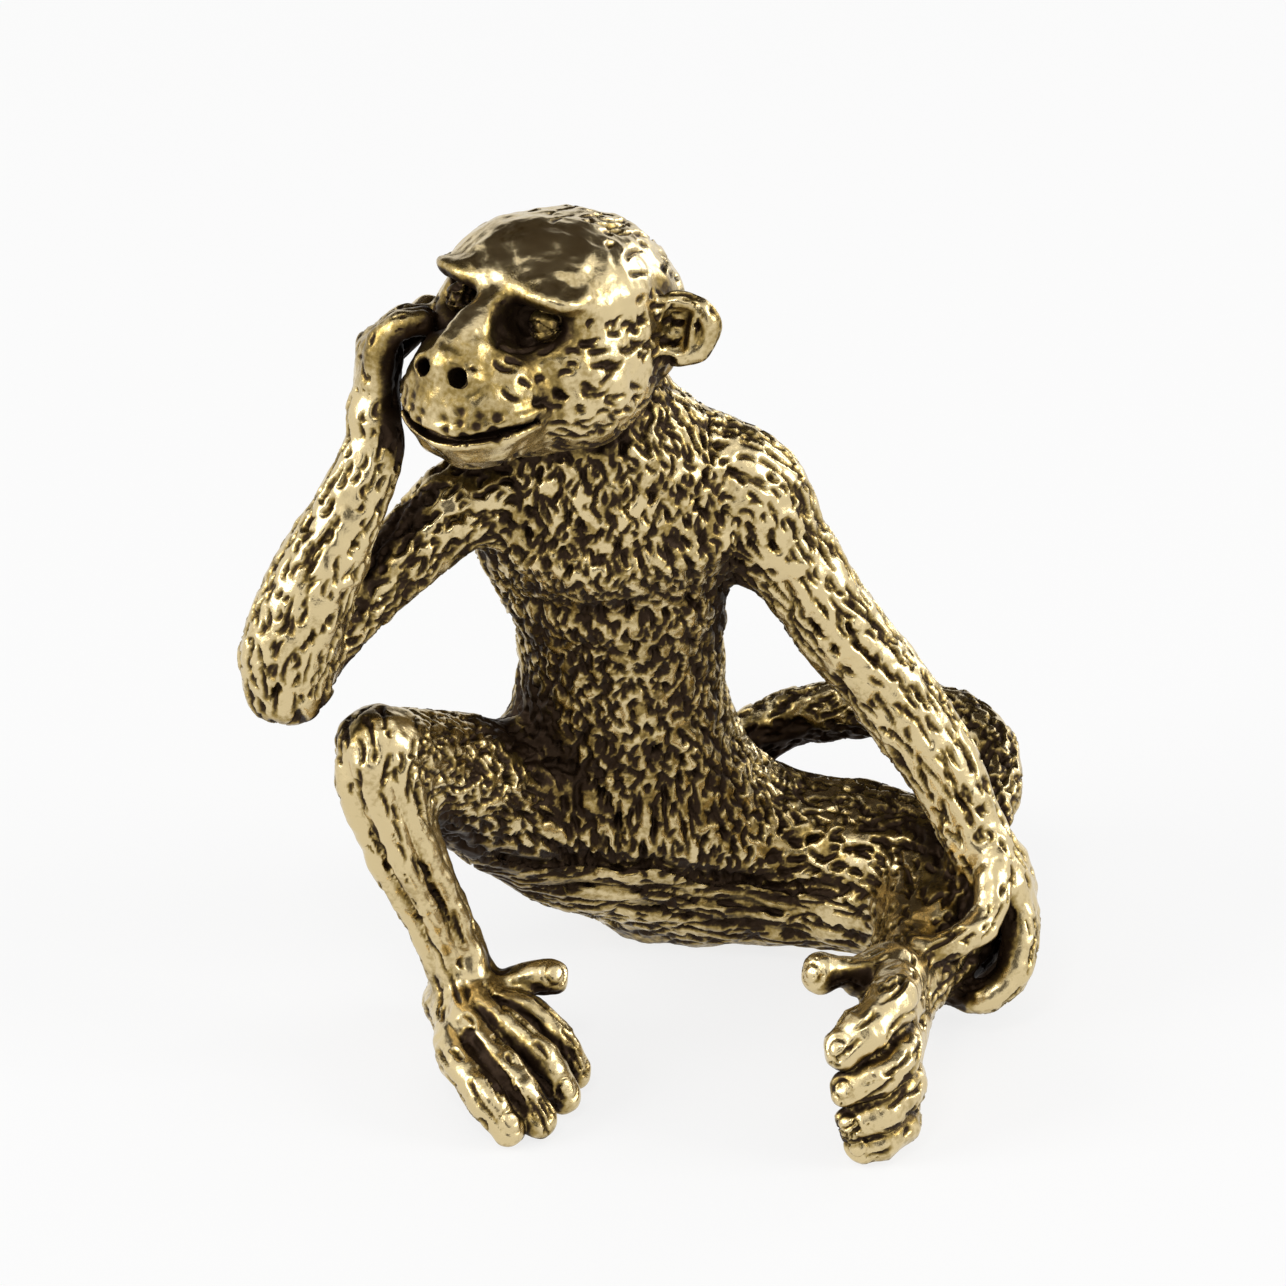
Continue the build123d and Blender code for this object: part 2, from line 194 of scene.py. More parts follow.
def add_limb(
    node, shares, width, thickness, wide, soft,
    level=False, coat=(0, 0, 0), knuckles=0.0, ridges=(0, 0.0, 0.0),
):
    """Adds a limb: soft is how far it flows into what is there, coat how much of each fur it has."""
    rows = flowing(placed(shares), 4)
    along = np.linspace(0, 1, len(rows))[:, None]
    swell = ripple(along, 0.38, 0.1) + ripple(along, 0.76, 0.09)
    rows[:, 3:] *= 1 + knuckles * (swell - 0.4)
    reach = max(width * rows[:, 3].max(), thickness * rows[:, -1].max()) + soft + 1.2
    forms.append({
        "node": node,
        "low": rows[:, :3].min(0) - reach,
        "high": rows[:, :3].max(0) + reach,
        "rows": rows,
        "width": width,
        "thickness": thickness,
        "wide": np.array(wide, float),
        "soft": soft,
        "level": level,
        "coat": coat,
        "ridges": ridges,
    })


# Fur comes in three coats: short pits, dense worms and long strokes
pit_coat, dense_coat = (1, 0, 0.15), (0.2, 1, 0)
left_way, back_way, up_way = (1, 0, 0), (0, 1, 0), (0, 0, 1)
add_limb("torso", (
    (0.045, 0.300, 0.000, 0.70, 0.62),
    (0.035, 0.297, 0.029, 0.94, 0.78),
    (0.010, 0.268, 0.085, 1.40, 1.15),
    (-0.016, 0.238, 0.169, 1.56, 1.38),
    (-0.022, 0.207, 0.254, 1.18, 1.22),
    (-0.025, 0.173, 0.339, 0.98, 1.08),
    (-0.027, 0.136, 0.436, 0.96, 1.03),
    (-0.041, 0.092, 0.533, 1.16, 1.10),
    (-0.049, 0.065, 0.617, 1.26, 1.08),
    (-0.051, 0.058, 0.690, 1.08, 0.97),
    (-0.060, 0.060, 0.751, 0.80, 0.87),
    (-0.077, 0.058, 0.799, 0.60, 0.80),
), 5.0, 4.0, left_way, 1.0, level=True, coat=dense_coat)
add_limb("right_thigh", (
    (-0.082, 0.221, 0.145, 1.00),
    (-0.153, 0.139, 0.203, 1.00),
    (-0.224, 0.037, 0.281, 0.91),
    (-0.281, -0.065, 0.338, 0.76),
    (-0.320, -0.143, 0.382, 0.64),
), 3.3, 3.3, left_way, 1.6, coat=dense_coat)
add_limb("left_thigh", (
    (0.035, 0.262, 0.100, 0.84),
    (0.109, 0.255, 0.099, 0.98),
    (0.219, 0.235, 0.099, 0.99),
    (0.314, 0.187, 0.102, 0.95),
    (0.383, 0.126, 0.102, 0.88),
), 4.1, 4.1, up_way, 1.6, coat=dense_coat)
add_limb("right_shin", (
    (-0.328, -0.165, 0.396, 0.97),
    (-0.322, -0.172, 0.360, 0.97),
    (-0.301, -0.167, 0.286, 0.88),
    (-0.265, -0.153, 0.203, 0.76),
    (-0.238, -0.143, 0.136, 0.67),
    (-0.221, -0.136, 0.092, 0.67),
), 1.9, 1.9, left_way, 0.9, coat=(0.05, 0, 0.35), ridges=(6, 0.24, 0.6))
add_limb("left_shin", (
    (0.393, 0.099, 0.099, 1.00),
    (0.374, 0.024, 0.097, 0.86),
    (0.350, -0.058, 0.094, 0.69),
    (0.328, -0.139, 0.092, 0.57),
), 3.5, 3.5, up_way, 0.9, coat=(0.6, 0.3, 0.3))
add_limb("right_upper_arm", (
    (-0.126, 0.037, 0.659, 0.95),
    (-0.208, 0.003, 0.644, 1.05),
    (-0.284, -0.044, 0.600, 0.92),
    (-0.355, -0.099, 0.552, 0.86),
    (-0.415, -0.150, 0.506, 0.84),
), 2.0, 2.0, up_way, 1.2, coat=(0.8, 0.6, 0))
add_limb("right_forearm", (
    (-0.437, -0.187, 0.487, 0.90),
    (-0.434, -0.184, 0.530, 1.00),
    (-0.399, -0.167, 0.610, 0.94),
    (-0.358, -0.143, 0.688, 0.76),
    (-0.328, -0.122, 0.751, 0.62),
    (-0.328, -0.112, 0.785, 0.58),
), 2.2, 2.2, left_way, 0.7, coat=pit_coat)
add_limb("left_arm", (
    (0.049, 0.080, 0.672, 0.80),
    (0.126, 0.085, 0.634, 0.94),
    (0.161, 0.085, 0.571, 0.91),
    (0.197, 0.082, 0.523, 0.81),
    (0.251, 0.075, 0.450, 0.76),
    (0.311, 0.065, 0.380, 0.74),
    (0.372, 0.044, 0.300, 0.68),
    (0.410, 0.024, 0.228, 0.57),
    (0.434, 0.010, 0.179, 0.55),
), 2.7, 2.7, back_way, 1.3, coat=(0.85, 0.1, 0.5))
add_limb("tail", (
    (0.041, 0.341, 0.087, 1.16),
    (0.093, 0.432, 0.136, 1.04),
    (0.180, 0.456, 0.191, 0.97),
    (0.284, 0.432, 0.218, 0.97),
    (0.374, 0.371, 0.235, 0.97),
    (0.432, 0.282, 0.235, 0.93),
    (0.446, 0.194, 0.215, 0.86),
    (0.440, 0.126, 0.200, 0.76),
), 1.45, 1.45, up_way, 0.8, coat=(0.3, 0.9, 0))
print("body forms", len(forms))

# %% Hands and feet
add_limb("right_hand", (
    (-0.325, -0.105, 0.772, 0.60),
    (-0.324, -0.071, 0.814, 0.88),
    (-0.320, -0.054, 0.847, 0.86),
), 2.4, 1.25, back_way, 0.6, coat=(0.3, 0, 0))
for finger in range(4):
    step, fall = finger * 1.31 / figure[1], finger * -0.6 / figure[2]
    add_limb("right_hand", (
        (-0.322, -0.119 + step, 0.833 + fall, 1.00),
        (-0.320, -0.122 + step, 0.869 + fall, 0.95),
        (-0.300, -0.119 + step, 0.898 + fall, 0.90),
        (-0.270, -0.112 + step, 0.902 + fall, 0.82),
    ), 0.75, 0.75, back_way, 0.22, knuckles=0.1)
add_limb("right_hand", (
    (-0.325, -0.020, 0.809, 1.00),
    (-0.298, 0.037, 0.828, 1.00),
    (-0.262, 0.078, 0.847, 0.85),
), 0.8, 0.8, left_way, 0.3)
add_limb("left_hand", (
    (0.434, 0.013, 0.208, 0.66),
    (0.456, 0.017, 0.174, 0.90),
    (0.467, 0.023, 0.140, 0.90),
), 2.3, 1.3, back_way, 0.6, coat=(0.3, 0, 0.3))
left_fingers = ((
    (0.459, -0.010, 0.179, 1.05),
    (0.475, -0.040, 0.121, 1.10),
    (0.464, -0.068, 0.074, 1.08),
    (0.425, -0.082, 0.052, 1.02),
    (0.374, -0.045, 0.048, 0.95),
), (
    (0.464, 0.017, 0.165, 1.00),
    (0.481, -0.003, 0.107, 0.95),
    (0.470, -0.023, 0.058, 0.95),
    (0.440, -0.037, 0.031, 0.90),
), (
    (0.462, 0.060, 0.165, 1.00),
    (0.480, 0.050, 0.107, 0.95),
    (0.468, 0.040, 0.058, 0.95),
    (0.438, 0.033, 0.031, 0.90),
), (
    (0.455, 0.103, 0.165, 0.95),
    (0.472, 0.103, 0.116, 0.90),
    (0.462, 0.100, 0.073, 0.85),
    (0.440, 0.095, 0.048, 0.80),
))
for shares in left_fingers:
    add_limb("left_hand", shares, 0.75, 0.75, back_way, 0.22, knuckles=0.1)
add_limb("left_hand", (
    (0.443, -0.030, 0.199, 1.00),
    (0.434, -0.084, 0.155, 1.00),
    (0.396, -0.124, 0.138, 0.95),
    (0.350, -0.144, 0.131, 0.85),
), 0.8, 0.8, up_way, 0.25)
add_limb("right_foot", (
    (-0.226, -0.037, 0.040, 0.75),
    (-0.219, -0.105, 0.056, 0.92),
    (-0.204, -0.187, 0.068, 1.00),
    (-0.192, -0.269, 0.066, 0.92),
), 2.2, 1.3, left_way, 0.6, coat=(0.1, 0, 0.5))
add_limb("right_foot", (
    (-0.233, -0.142, 0.145, 0.95),
    (-0.221, -0.165, 0.108, 1.05),
    (-0.206, -0.215, 0.076, 1.05),
), 1.2, 1.1, left_way, 0.9, coat=(0, 0, 0.5))
right_toes = ((
    (-0.207, -0.125, 0.108, 0.80),
    (-0.180, -0.205, 0.090, 0.95),
    (-0.140, -0.226, 0.080, 1.08),
    (-0.106, -0.243, 0.055, 1.00),
    (-0.084, -0.257, 0.026, 0.92),
), (
    (-0.216, -0.128, 0.108, 0.80),
    (-0.198, -0.232, 0.092, 0.95),
    (-0.164, -0.272, 0.080, 1.10),
    (-0.124, -0.308, 0.056, 1.00),
    (-0.098, -0.328, 0.024, 0.94),
), (
    (-0.227, -0.130, 0.102, 0.80),
    (-0.215, -0.250, 0.088, 0.95),
    (-0.194, -0.322, 0.078, 1.08),
    (-0.158, -0.368, 0.057, 1.00),
    (-0.128, -0.399, 0.024, 0.94),
), (
    (-0.236, -0.130, 0.092, 0.80),
    (-0.233, -0.250, 0.072, 0.95),
    (-0.217, -0.346, 0.067, 1.04),
    (-0.194, -0.398, 0.050, 0.95),
    (-0.166, -0.424, 0.022, 0.88),
))
for shares in right_toes:
    add_limb("right_foot", shares, 0.99, 0.99, left_way, 0.14, coat=(0.15, 0, 0.3), knuckles=0.14)
add_limb("right_foot", (
    (-0.186, -0.158, 0.087, 1.00),
    (-0.148, -0.164, 0.104, 0.95),
    (-0.110, -0.161, 0.107, 0.95),
), 0.84, 0.84, up_way, 0.5)
add_limb("left_foot", (
    (0.333, -0.044, 0.080, 0.62),
    (0.328, -0.131, 0.085, 0.84),
    (0.317, -0.238, 0.087, 1.00),
    (0.306, -0.346, 0.085, 1.03),
), 3.2, 1.5, up_way, 0.6, coat=(0.25, 0, 0.4), ridges=(5, 0.1, 0.0))
left_toes = ((
    (0.318, -0.300, 0.160, 1.00),
    (0.312, -0.380, 0.166, 1.14),
    (0.283, -0.440, 0.155, 1.12),
    (0.252, -0.464, 0.138, 1.04),
), (
    (0.316, -0.330, 0.115, 1.00),
    (0.322, -0.420, 0.118, 1.00),
    (0.296, -0.466, 0.108, 0.95),
    (0.256, -0.478, 0.092, 0.88),
), (
    (0.318, -0.335, 0.072, 1.00),
    (0.326, -0.424, 0.074, 1.00),
    (0.300, -0.468, 0.064, 0.95),
    (0.262, -0.480, 0.050, 0.88),
), (
    (0.318, -0.339, 0.030, 0.95),
    (0.322, -0.424, 0.032, 0.92),
    (0.302, -0.466, 0.026, 0.90),
    (0.275, -0.477, 0.020, 0.84),
))
for shares in left_toes:
    add_limb("left_foot", shares, 1.04, 1.04, left_way, 0.12, coat=(0.15, 0, 0.3), knuckles=0.13)
add_limb("left_foot", (
    (0.306, -0.225, 0.145, 1.15),
    (0.275, -0.262, 0.150, 1.05),
    (0.250, -0.280, 0.160, 0.80),
    (0.226, -0.292, 0.162, 1.02),
), 0.95, 0.95, up_way, 0.5)
print("forms with hands and feet", len(forms))

# %% [markdown]
# ## The head
# The head is sculpted facing forward and then turned on the neck, 37 degrees to the monkey's right and
# tipped back 17.5. The brow is a smooth plate with an edge that overhangs deep sockets, the snout is a
# ball with a long smiling mouth, and the round ears stand out with hollows that look forward.

# %% The head's own frame
skull_at = placed(((-0.090, 0.017, 0.862),))[0]
turn, tip = radians(-37), radians(-17.5)
turned = np.array(((cos(turn), -sin(turn), 0), (sin(turn), cos(turn), 0), (0, 0, 1)))
tipped = np.array(((1, 0, 0), (0, cos(tip), -sin(tip)), (0, sin(tip), cos(tip))))
head_frame = (turned @ tipped).astype(np.float32)
# Places in that frame, for the monkey's left side where there are two
snout_at, eye_at, ear_at = (0, -6.0, -3.2), (2.35, -5.25, 0.65), (5.5, 0.9, 0.9)
lid_size, eye_size, head_reach = 0.72, 0.55, 11
print("skull centre", skull_at.round(2), "mm")


# %% One ear
def from_ear(points, side):
    """A round ear: a flap, its rolled rim and the hollow inside."""
    flare = radians(-52 * side)
    frame_out = np.array(((cos(flare), sin(flare)), (-sin(flare), cos(flare))), np.float32)
    local = points - np.array((ear_at[0] * side, *ear_at[1:]), np.float32)
    local[:, :2] = local[:, :2] @ frame_out.T
    local[:, 0] *= side
    flap = from_ball(local, (0, 0, 0), (0.62, 1.8, 1.8))
    bowl = from_ball(local, (0.85, -0.1, 0.05), (1.0, 1.25, 1.25))
    ear = scoop(flap, bowl, 0.25)
    fold = from_ball(local, (0.2, 0.55, 0.0), (0.25, 0.2, 0.9))
    return melt(ear, fold, 0.3)


# %% Whisker dots
whisker_rows = ((24, 38, 52), (10, 24, 37, 50, 63), (14, 28, 42, 56))


def whiskers(mirrored):
    """One in each whisker dot on the upper lip, in rows that are placed by angles from the snout."""
    total = np.zeros(len(mirrored), np.float32)
    for row, angles in enumerate(whisker_rows):
        for angle in angles:
            sideways, down = radians(angle), radians(3 + 8.5 * row)
            out = np.array((sin(sideways) * cos(down), -cos(sideways) * cos(down), -sin(down)))
            dot = mirrored - (np.array(snout_at) + 3.4 * out).astype(np.float32)
            total = np.maximum(total, np.exp(-(dot**2).sum(1) / 0.18**2))
    return total


# %% The head as one form
def from_head(points):
    """How far points are from the head, with its brow, eyes, nose, mouth and ears."""
    p = (points - skull_at.astype(np.float32)) @ head_frame
    x, y, z = p.T
    across = np.abs(x)
    mirrored = np.column_stack((across, y, z))
    head = from_ball(p, (0, 0, 0), (5.1, 5.8, 4.9))
    head = melt(head, from_ball(p, (0, -3.4, 0), (4.2, 3.2, 3.7)), 0.8)
    head = melt(head, from_ball(p, (0, -2.4, -3.6), (3.7, 4.0, 2.6)), 1.2)
    head = melt(head, from_ball(mirrored, (3.6, -2.0, -2.0), (1.8, 2.9, 2.8)), 1.2)
    head = melt(head, from_ball(p, snout_at, (3.4, 3.35, 3.3)), 0.6)
    nose = np.array(((0, -5.2, 1.6, 1), (0, -7.2, 0.2, 0.95), (0, -8.5, -1.4, 1.1)))
    bridge, _ = along_limb(p, nose, 0.95, 0.95, np.array((1.0, 0, 0)))
    head = melt(head, bridge, 0.9)
    head = melt(head, from_ball(mirrored, (0.95, -8.75, -1.9), (0.75, 0.75, 0.65)), 0.4)
    head = scoop(head, from_ball(mirrored, (2.35, -6.2, 0.65), (1.6, 1.6, 1.15)), 0.7)
    forehead = from_ball(p, (0.1, -1.7, 1.5), (4.75, 4.65, 3.4))
    edge = 0.85 - 0.13 * y - 0.3 * np.cos(across * 1.3) - 0.45 * np.maximum(across - 2.9, 0) - z
    forehead = -melt(-forehead, -edge, 0.45)
    ridge = from_ball(mirrored, (2.1, -5.1, 2.0), (1.9, 1.35, 0.6))
    head = melt(head, melt(forehead, ridge, 0.8), 0.25)
    eye_x, eye_y, eye_z = (mirrored - np.array(eye_at, np.float32)).T
    ball = np.sqrt(eye_x**2 + eye_y**2 + eye_z**2)
    slit = np.abs(eye_z + 0.05) - 0.3 * np.maximum(1 - (eye_x / 0.68) ** 2, 0)
    lids = np.maximum(ball - lid_size, -slit)
    head = melt(head, lids, 0.15)
    head = np.minimum(head, ball - eye_size)
    nostril = np.sqrt((mirrored[:, 0] - 0.93) ** 2 + (z + 1.95 + 0.25 * (y + 8.9)) ** 2) - 0.4
    nostril = np.maximum(nostril, y + 8.0)
    head = scoop(head, nostril, 0.2)
    smile = z + 4.9 - 0.1 * x**2 - 0.05 * np.maximum(y + 9.2, 0) ** 1.5
    lip = ripple(np.abs(smile), 0.42, 0.3) * falling(y, -5.0, 1 / 1.5)
    head = head - 0.16 * lip
    mouth = np.maximum(np.abs(smile) - 0.2 * np.clip(-(y + 5.5) / 1.2, 0.1, 1), -(head + 0.65))
    mouth = np.maximum(mouth, y + 5.7)
    head = scoop(head, mouth, 0.12)
    head = head + 0.2 * whiskers(mirrored)
    for side in (-1, 1):
        head = melt(head, from_ear(p, side), 0.3)
    return head


def head_coat(points):
    """How much of each fur lies on the head: none on the face, pits behind it, strokes on the crown."""
    x, y, z = ((points - skull_at.astype(np.float32)) @ head_frame).T
    across = np.abs(x)
    behind = rising(y + 0.35 * z - 0.5 * np.maximum(across - 3.0, 0), -4.6, 1.2)
    cheek = rising(across, 3.0, 0.6) * rising(y, -6.6, 0.8) * falling(z, 0.8, 1)
    chin = falling(z, -5.2, 0.5) * rising(y, -7.0, 1)
    fur = np.maximum(np.maximum(behind, cheek), chin)
    plate = rising(z + 0.1 * y, 1.2, 0.5) * falling(y, -1.2, 1.5)
    crown = rising(z, 0, 3) * fur
    ears = rising(across, 5.2, 0.4)
    fur = fur * (1 - plate) * (1 - ears)
    beside_nose = rising(across, 1.3, 0.5) * falling(across, 3.4, 0.8) * rising(y, -8.2, 0.8)
    beside_nose *= falling(z, 1.0, 0.6) * rising(z, -3.6, 0.8) * falling(y, -4.0, 1)
    pits = np.maximum(fur * (1 - 0.85 * crown), 0.9 * beside_nose)
    return np.stack((pits, 0.2 * fur * (1 - crown), 0.3 * fur * crown), -1)


forms.append({
    "node": "head",
    "low": skull_at - head_reach - 0.5,
    "high": skull_at + head_reach + 0.5,
    "measure": from_head,
    "soft": 0.5,
})


# %% [markdown]
# ## Creases and bumps
# The maker pressed lines into the wax with a blunt tool: the groove below the belly, the fold under
# the chest and the streaks on the seat. Each is a soft dent that follows a line across the front.

# %% Lines pressed into the body
view_up = (0.469, 0.883)
groove_across, groove_rise = (-7.7, 0.3, 3.5, 9.0), (7.14, 6.83, 6.19, 5.56)


def press_lines(points, distance):
    """Adds the body's creases to the distances. Heights are taken as seen from 28 degrees above."""
    x, y, z = points.T
    rise = view_up[1] * z + view_up[0] * y
    low_front = falling(y, 6.0, 2)
    high_front = falling(y, 3.0, 1.5) * rising(z, 16, 2)
    groove = np.interp(x, groove_across, groove_rise) + 0.12 * np.sin(1.7 * x)
    fold = 0.05 * (x + 1.5) ** 2
    # The groove, two streaks on the seat, a crease of the belly, the chest's swell and the fold below it
    for depth, place, width, left, right, soft, front in (
        (0.38, groove, 0.26, -7.7, 10.0, 1.2, low_front),
        (0.22, groove - 1.15, 0.2, -5.5, 9.0, 2.5, low_front),
        (0.16, groove - 2.0, 0.2, -3.5, 8.0, 2.5, low_front),
        (0.22, 10.9 + 0.03 * x * x, 0.24, -5.2, 0.4, 1.0, low_front),
        (-0.42, 19.8 + fold, 0.8, -7.5, 5.0, 2.0, high_front),
        (0.36, 18.2 + fold, 0.55, -7.0, 4.5, 2.0, high_front),
    ):
        distance = distance + depth * ripple(rise, place, width) * between(x, left, right, soft) * front
    return distance


# %% Clefts between the right toes, from the middle of the foot to the tips
clefts = []
lift = np.array((0, -0.2, 0.75, 0))
for first, second in zip(right_toes, right_toes[1:]):
    clefts.append(flowing((placed(first) + placed(second)) / 2 + lift, 20)[25:, :3].astype(np.float32))


def in_box(points, low, high):
    """The numbers of the points that lie in a box."""
    return np.flatnonzero(((points > low) & (points < high)).all(1))


def beside_clefts(points):
    """One at the middle of a cleft, falling off softly to its sides."""
    total = np.zeros(len(points), np.float32)
    for line in clefts:
        inside = in_box(points, line.min(0) - 1, line.max(0) + 1)
        if len(inside):
            gaps = [((points[inside] - place) ** 2).sum(1) for place in line]
            total[inside] = np.maximum(total[inside], np.exp(-np.min(gaps, axis=0) / 0.3**2))
    return total


print("clefts", len(clefts))

# %% Nails on the toes, each with a place and the way that it faces
nails = []
for tips, faces_way in (
    ([shares[-1] for shares in right_toes], (0.25, -0.62, 0.74)),
    ([shares[-1] for shares in left_toes], (-0.35, -0.83, 0.44)),
    ([(0.226, -0.292, 0.162, 1)], (-0.6, -0.7, 0.38)),
    ([(-0.112, -0.161, 0.107, 1)], (0.3, -0.7, 0.65)),
):
    nails += [(placed((tip,))[0][:3], np.array(faces_way)) for tip in tips]


def press_nails(points, distance):
    """Rings each nail with a fine groove and lifts the nail a little."""
    for centre, out in nails:
        away = points - centre.astype(np.float32)
        near = np.flatnonzero((away**2).sum(1) < 2.0)
        if len(near):
            local = away[near]
            high = local @ out.astype(np.float32)
            round_it = np.sqrt(np.maximum((local**2).sum(1) - high**2, 0))
            dent = 0.08 * ripple(round_it, 0.5, 0.09) - 0.03 * (round_it < 0.42)
            distance[near] += rising(high, 0, 0.3) * dent.astype(np.float32)
    return distance


print("nails", len(nails))
on_groove = np.array(((0.3, 3.0, 6.14),))
print("a point on the groove is dented by", float(press_lines(on_groove, 0.0)[0].round(2)), "mm")


# %% [markdown]
# ## From distances to skin
# The field is sampled first on a coarse grid, to find where the surface runs, and then finely only near
# it. A vertex goes in every small cell that the surface crosses, and a face round every grid edge
# that pierces it. The result is one closed skin, as a casting has.

# %% Measure many points at once
def measure(form, points):
    """The distance to one form, and the way that hair lies on it."""
    if "rows" in form:
        sizes = (form["width"], form["thickness"], form["wide"], form["level"], form["ridges"])
        return along_limb(points, form["rows"], *sizes)
    snout = skull_at.astype(np.float32) + head_frame @ np.array((0, -9.0, -2.0), np.float32)
    return form["measure"](points), points - snout


def ground(distance, points):
    """The foundry files the underside flat, where the figure stands."""
    return np.maximum(distance, 0.02 - points[:, 2])


def carve(points):
    """The blended distance to the whole figure."""
    total = np.full(len(points), 3.0, np.float32)
    for form in forms:
        inside = in_box(points, form["low"], form["high"])
        if len(inside):
            far, _ = measure(form, points[inside])
            total[inside] = melt(total[inside], far, form["soft"])
    total = press_lines(points, total).astype(np.float32) + 0.32 * beside_clefts(points)
    return ground(press_nails(points, total), points)


def in_threads(job, points, parts=16):
    """The same work on all cores."""
    with ThreadPoolExecutor(cores) as pool:
        return list(pool.map(job, np.array_split(points, parts)))


# %% Sample the field
coarse = 4
low = np.floor((figure * (-0.5, -0.5, 0) - 1.5) / (voxel * coarse)) * voxel * coarse
counts = np.ceil((figure + 3.0) / (voxel * coarse)).astype(int) + 1


def grid_points(cells, step):
    """Where numbered grid points are, in millimetres."""
    return (low + cells * step).astype(np.float32)


def corners_of(grid):
    """Eight views of a grid, each with one corner of every cell."""
    for corner in product((0, 1), repeat=3):
        yield grid[tuple(slice(c, n - 1 + c) for c, n in zip(corner, grid.shape))]


def finer(values):
    """Repeats each coarse value over the fine cells that it stands for."""
    for axis in range(3):
        values = np.repeat(values, coarse, axis)
    return values


cells = np.stack(np.meshgrid(*(np.arange(n) for n in counts), indexing="ij"), -1).reshape(-1, 3)
rough = np.concatenate(in_threads(carve, grid_points(cells, voxel * coarse))).reshape(counts)
band = np.abs(rough) < voxel * coarse * 1.5
near = np.zeros(counts - 1, bool)
for view in corners_of(band):
    near |= view
print("coarse cells", near.size, "near the surface", int(near.sum()))

# %% Fill in the fine grid near the surface
fine_counts = (counts - 1) * coarse + 1
field = np.pad(finer(rough[:-1, :-1, :-1]), ((0, 1), (0, 1), (0, 1)), mode="edge")
wanted = np.zeros(fine_counts, bool)
blocks = finer(near)
for view in corners_of(wanted):
    view |= blocks
chosen = np.argwhere(wanted)
field[wanted] = np.concatenate(in_threads(carve, grid_points(chosen, voxel), 64))
print("fine points", len(chosen), "of", field.size)


# %% Draw the skin
def draw_skin(field, low, step):
    """Vertices and four-sided faces where the field changes sign."""
    inside = field < 0
    sizes = [n - 1 for n in field.shape]
    full = np.zeros(sizes, np.uint8)
    for view in corners_of(inside):
        full += view
    crossed = np.flatnonzero((full > 0) & (full < 8))
    number = np.full(full.size, -1, np.int32)
    number[crossed] = np.arange(len(crossed))
    number = number.reshape(sizes)
    cell = np.stack(np.unravel_index(crossed, sizes), -1)
    corner = {c: field[tuple((cell + c).T)] for c in product((0, 1), repeat=3)}
    total = np.zeros((len(cell), 3))
    hits = np.zeros(len(cell))
    for first, last in product(corner, repeat=2):
        if sum(last) - sum(first) == 1 and all(b >= a for a, b in zip(first, last)):
            a, b = corner[first], corner[last]
            hit = (a < 0) != (b < 0)
            share = np.where(hit, a / np.where(hit, a - b, 1), 0)
            place = np.array(first) + share[:, None] * (np.array(last) - np.array(first))
            total += place * hit[:, None]
            hits += hit
    points = low + (cell + total / hits[:, None]) * step
    faces = []
    for axis in range(3):
        u, v = [a for a in range(3) if a != axis]
        here = [slice(1, -1)] * 3
        here[axis] = slice(0, -1)
        ahead = list(here)
        ahead[axis] = slice(1, None)
        changes = np.argwhere(inside[tuple(here)] != inside[tuple(ahead)])
        changes[:, u] += 1
        changes[:, v] += 1
        outward = inside[tuple(changes.T)]
        ring = []
        for back_u, back_v in ((1, 1), (0, 1), (0, 0), (1, 0)):
            at = changes.copy()
            at[:, u] -= back_u
            at[:, v] -= back_v
            ring.append(number[tuple(at.T)])
        ring = np.stack(ring, -1)
        if axis == 1:
            outward = ~outward
        ring[~outward] = ring[~outward][:, ::-1]
        faces.append(ring)
    return points, np.concatenate(faces)


verts, faces = draw_skin(field, low, voxel)
print("skin vertices", len(verts), "faces", len(faces))


# %% [markdown]
# ## Smooth the skin and read the field on it
# The raw skin shows its grid. Each vertex moves to the middle of its neighbours and then back onto
# the exact surface, which keeps every form and loses the steps.

# %% Helpers on the skin
def face_normals(points, faces):
    """The direction that each vertex faces, outward."""
    a, b, c, d = (points[faces[:, i]] for i in range(4))
    flat = np.cross(c - a, d - b)
    normals = np.zeros_like(points)
    for i in range(4):
        for k in range(3):
            normals[:, k] += np.bincount(faces[:, i], flat[:, k], len(points))
    return normals / (np.linalg.norm(normals, axis=1, keepdims=True) + 1e-12)


def neighbour_mean(values, faces):
    """The average of each vertex's neighbours round its faces."""
    total = np.zeros_like(values)
    count = np.zeros(len(values))
    for i in range(4):
        here, ahead = faces[:, i], faces[:, (i + 1) % 4]
        count += np.bincount(here, minlength=len(values)) + np.bincount(ahead, minlength=len(values))
        for k in range(values.shape[1]):
            total[:, k] += np.bincount(here, values[ahead, k], len(values))
            total[:, k] += np.bincount(ahead, values[here, k], len(values))
    return total / count[:, None]


for _ in range(2):
    verts = verts + 0.6 * (neighbour_mean(verts, faces) - verts)
    normals = face_normals(verts, faces)
    off = np.concatenate(in_threads(carve, verts.astype(np.float32)))
    verts = verts - normals * np.clip(off, -voxel, voxel)[:, None]
normals = face_normals(verts, faces)
print("largest move left", float(np.abs(off).max().round(3)), "mm")


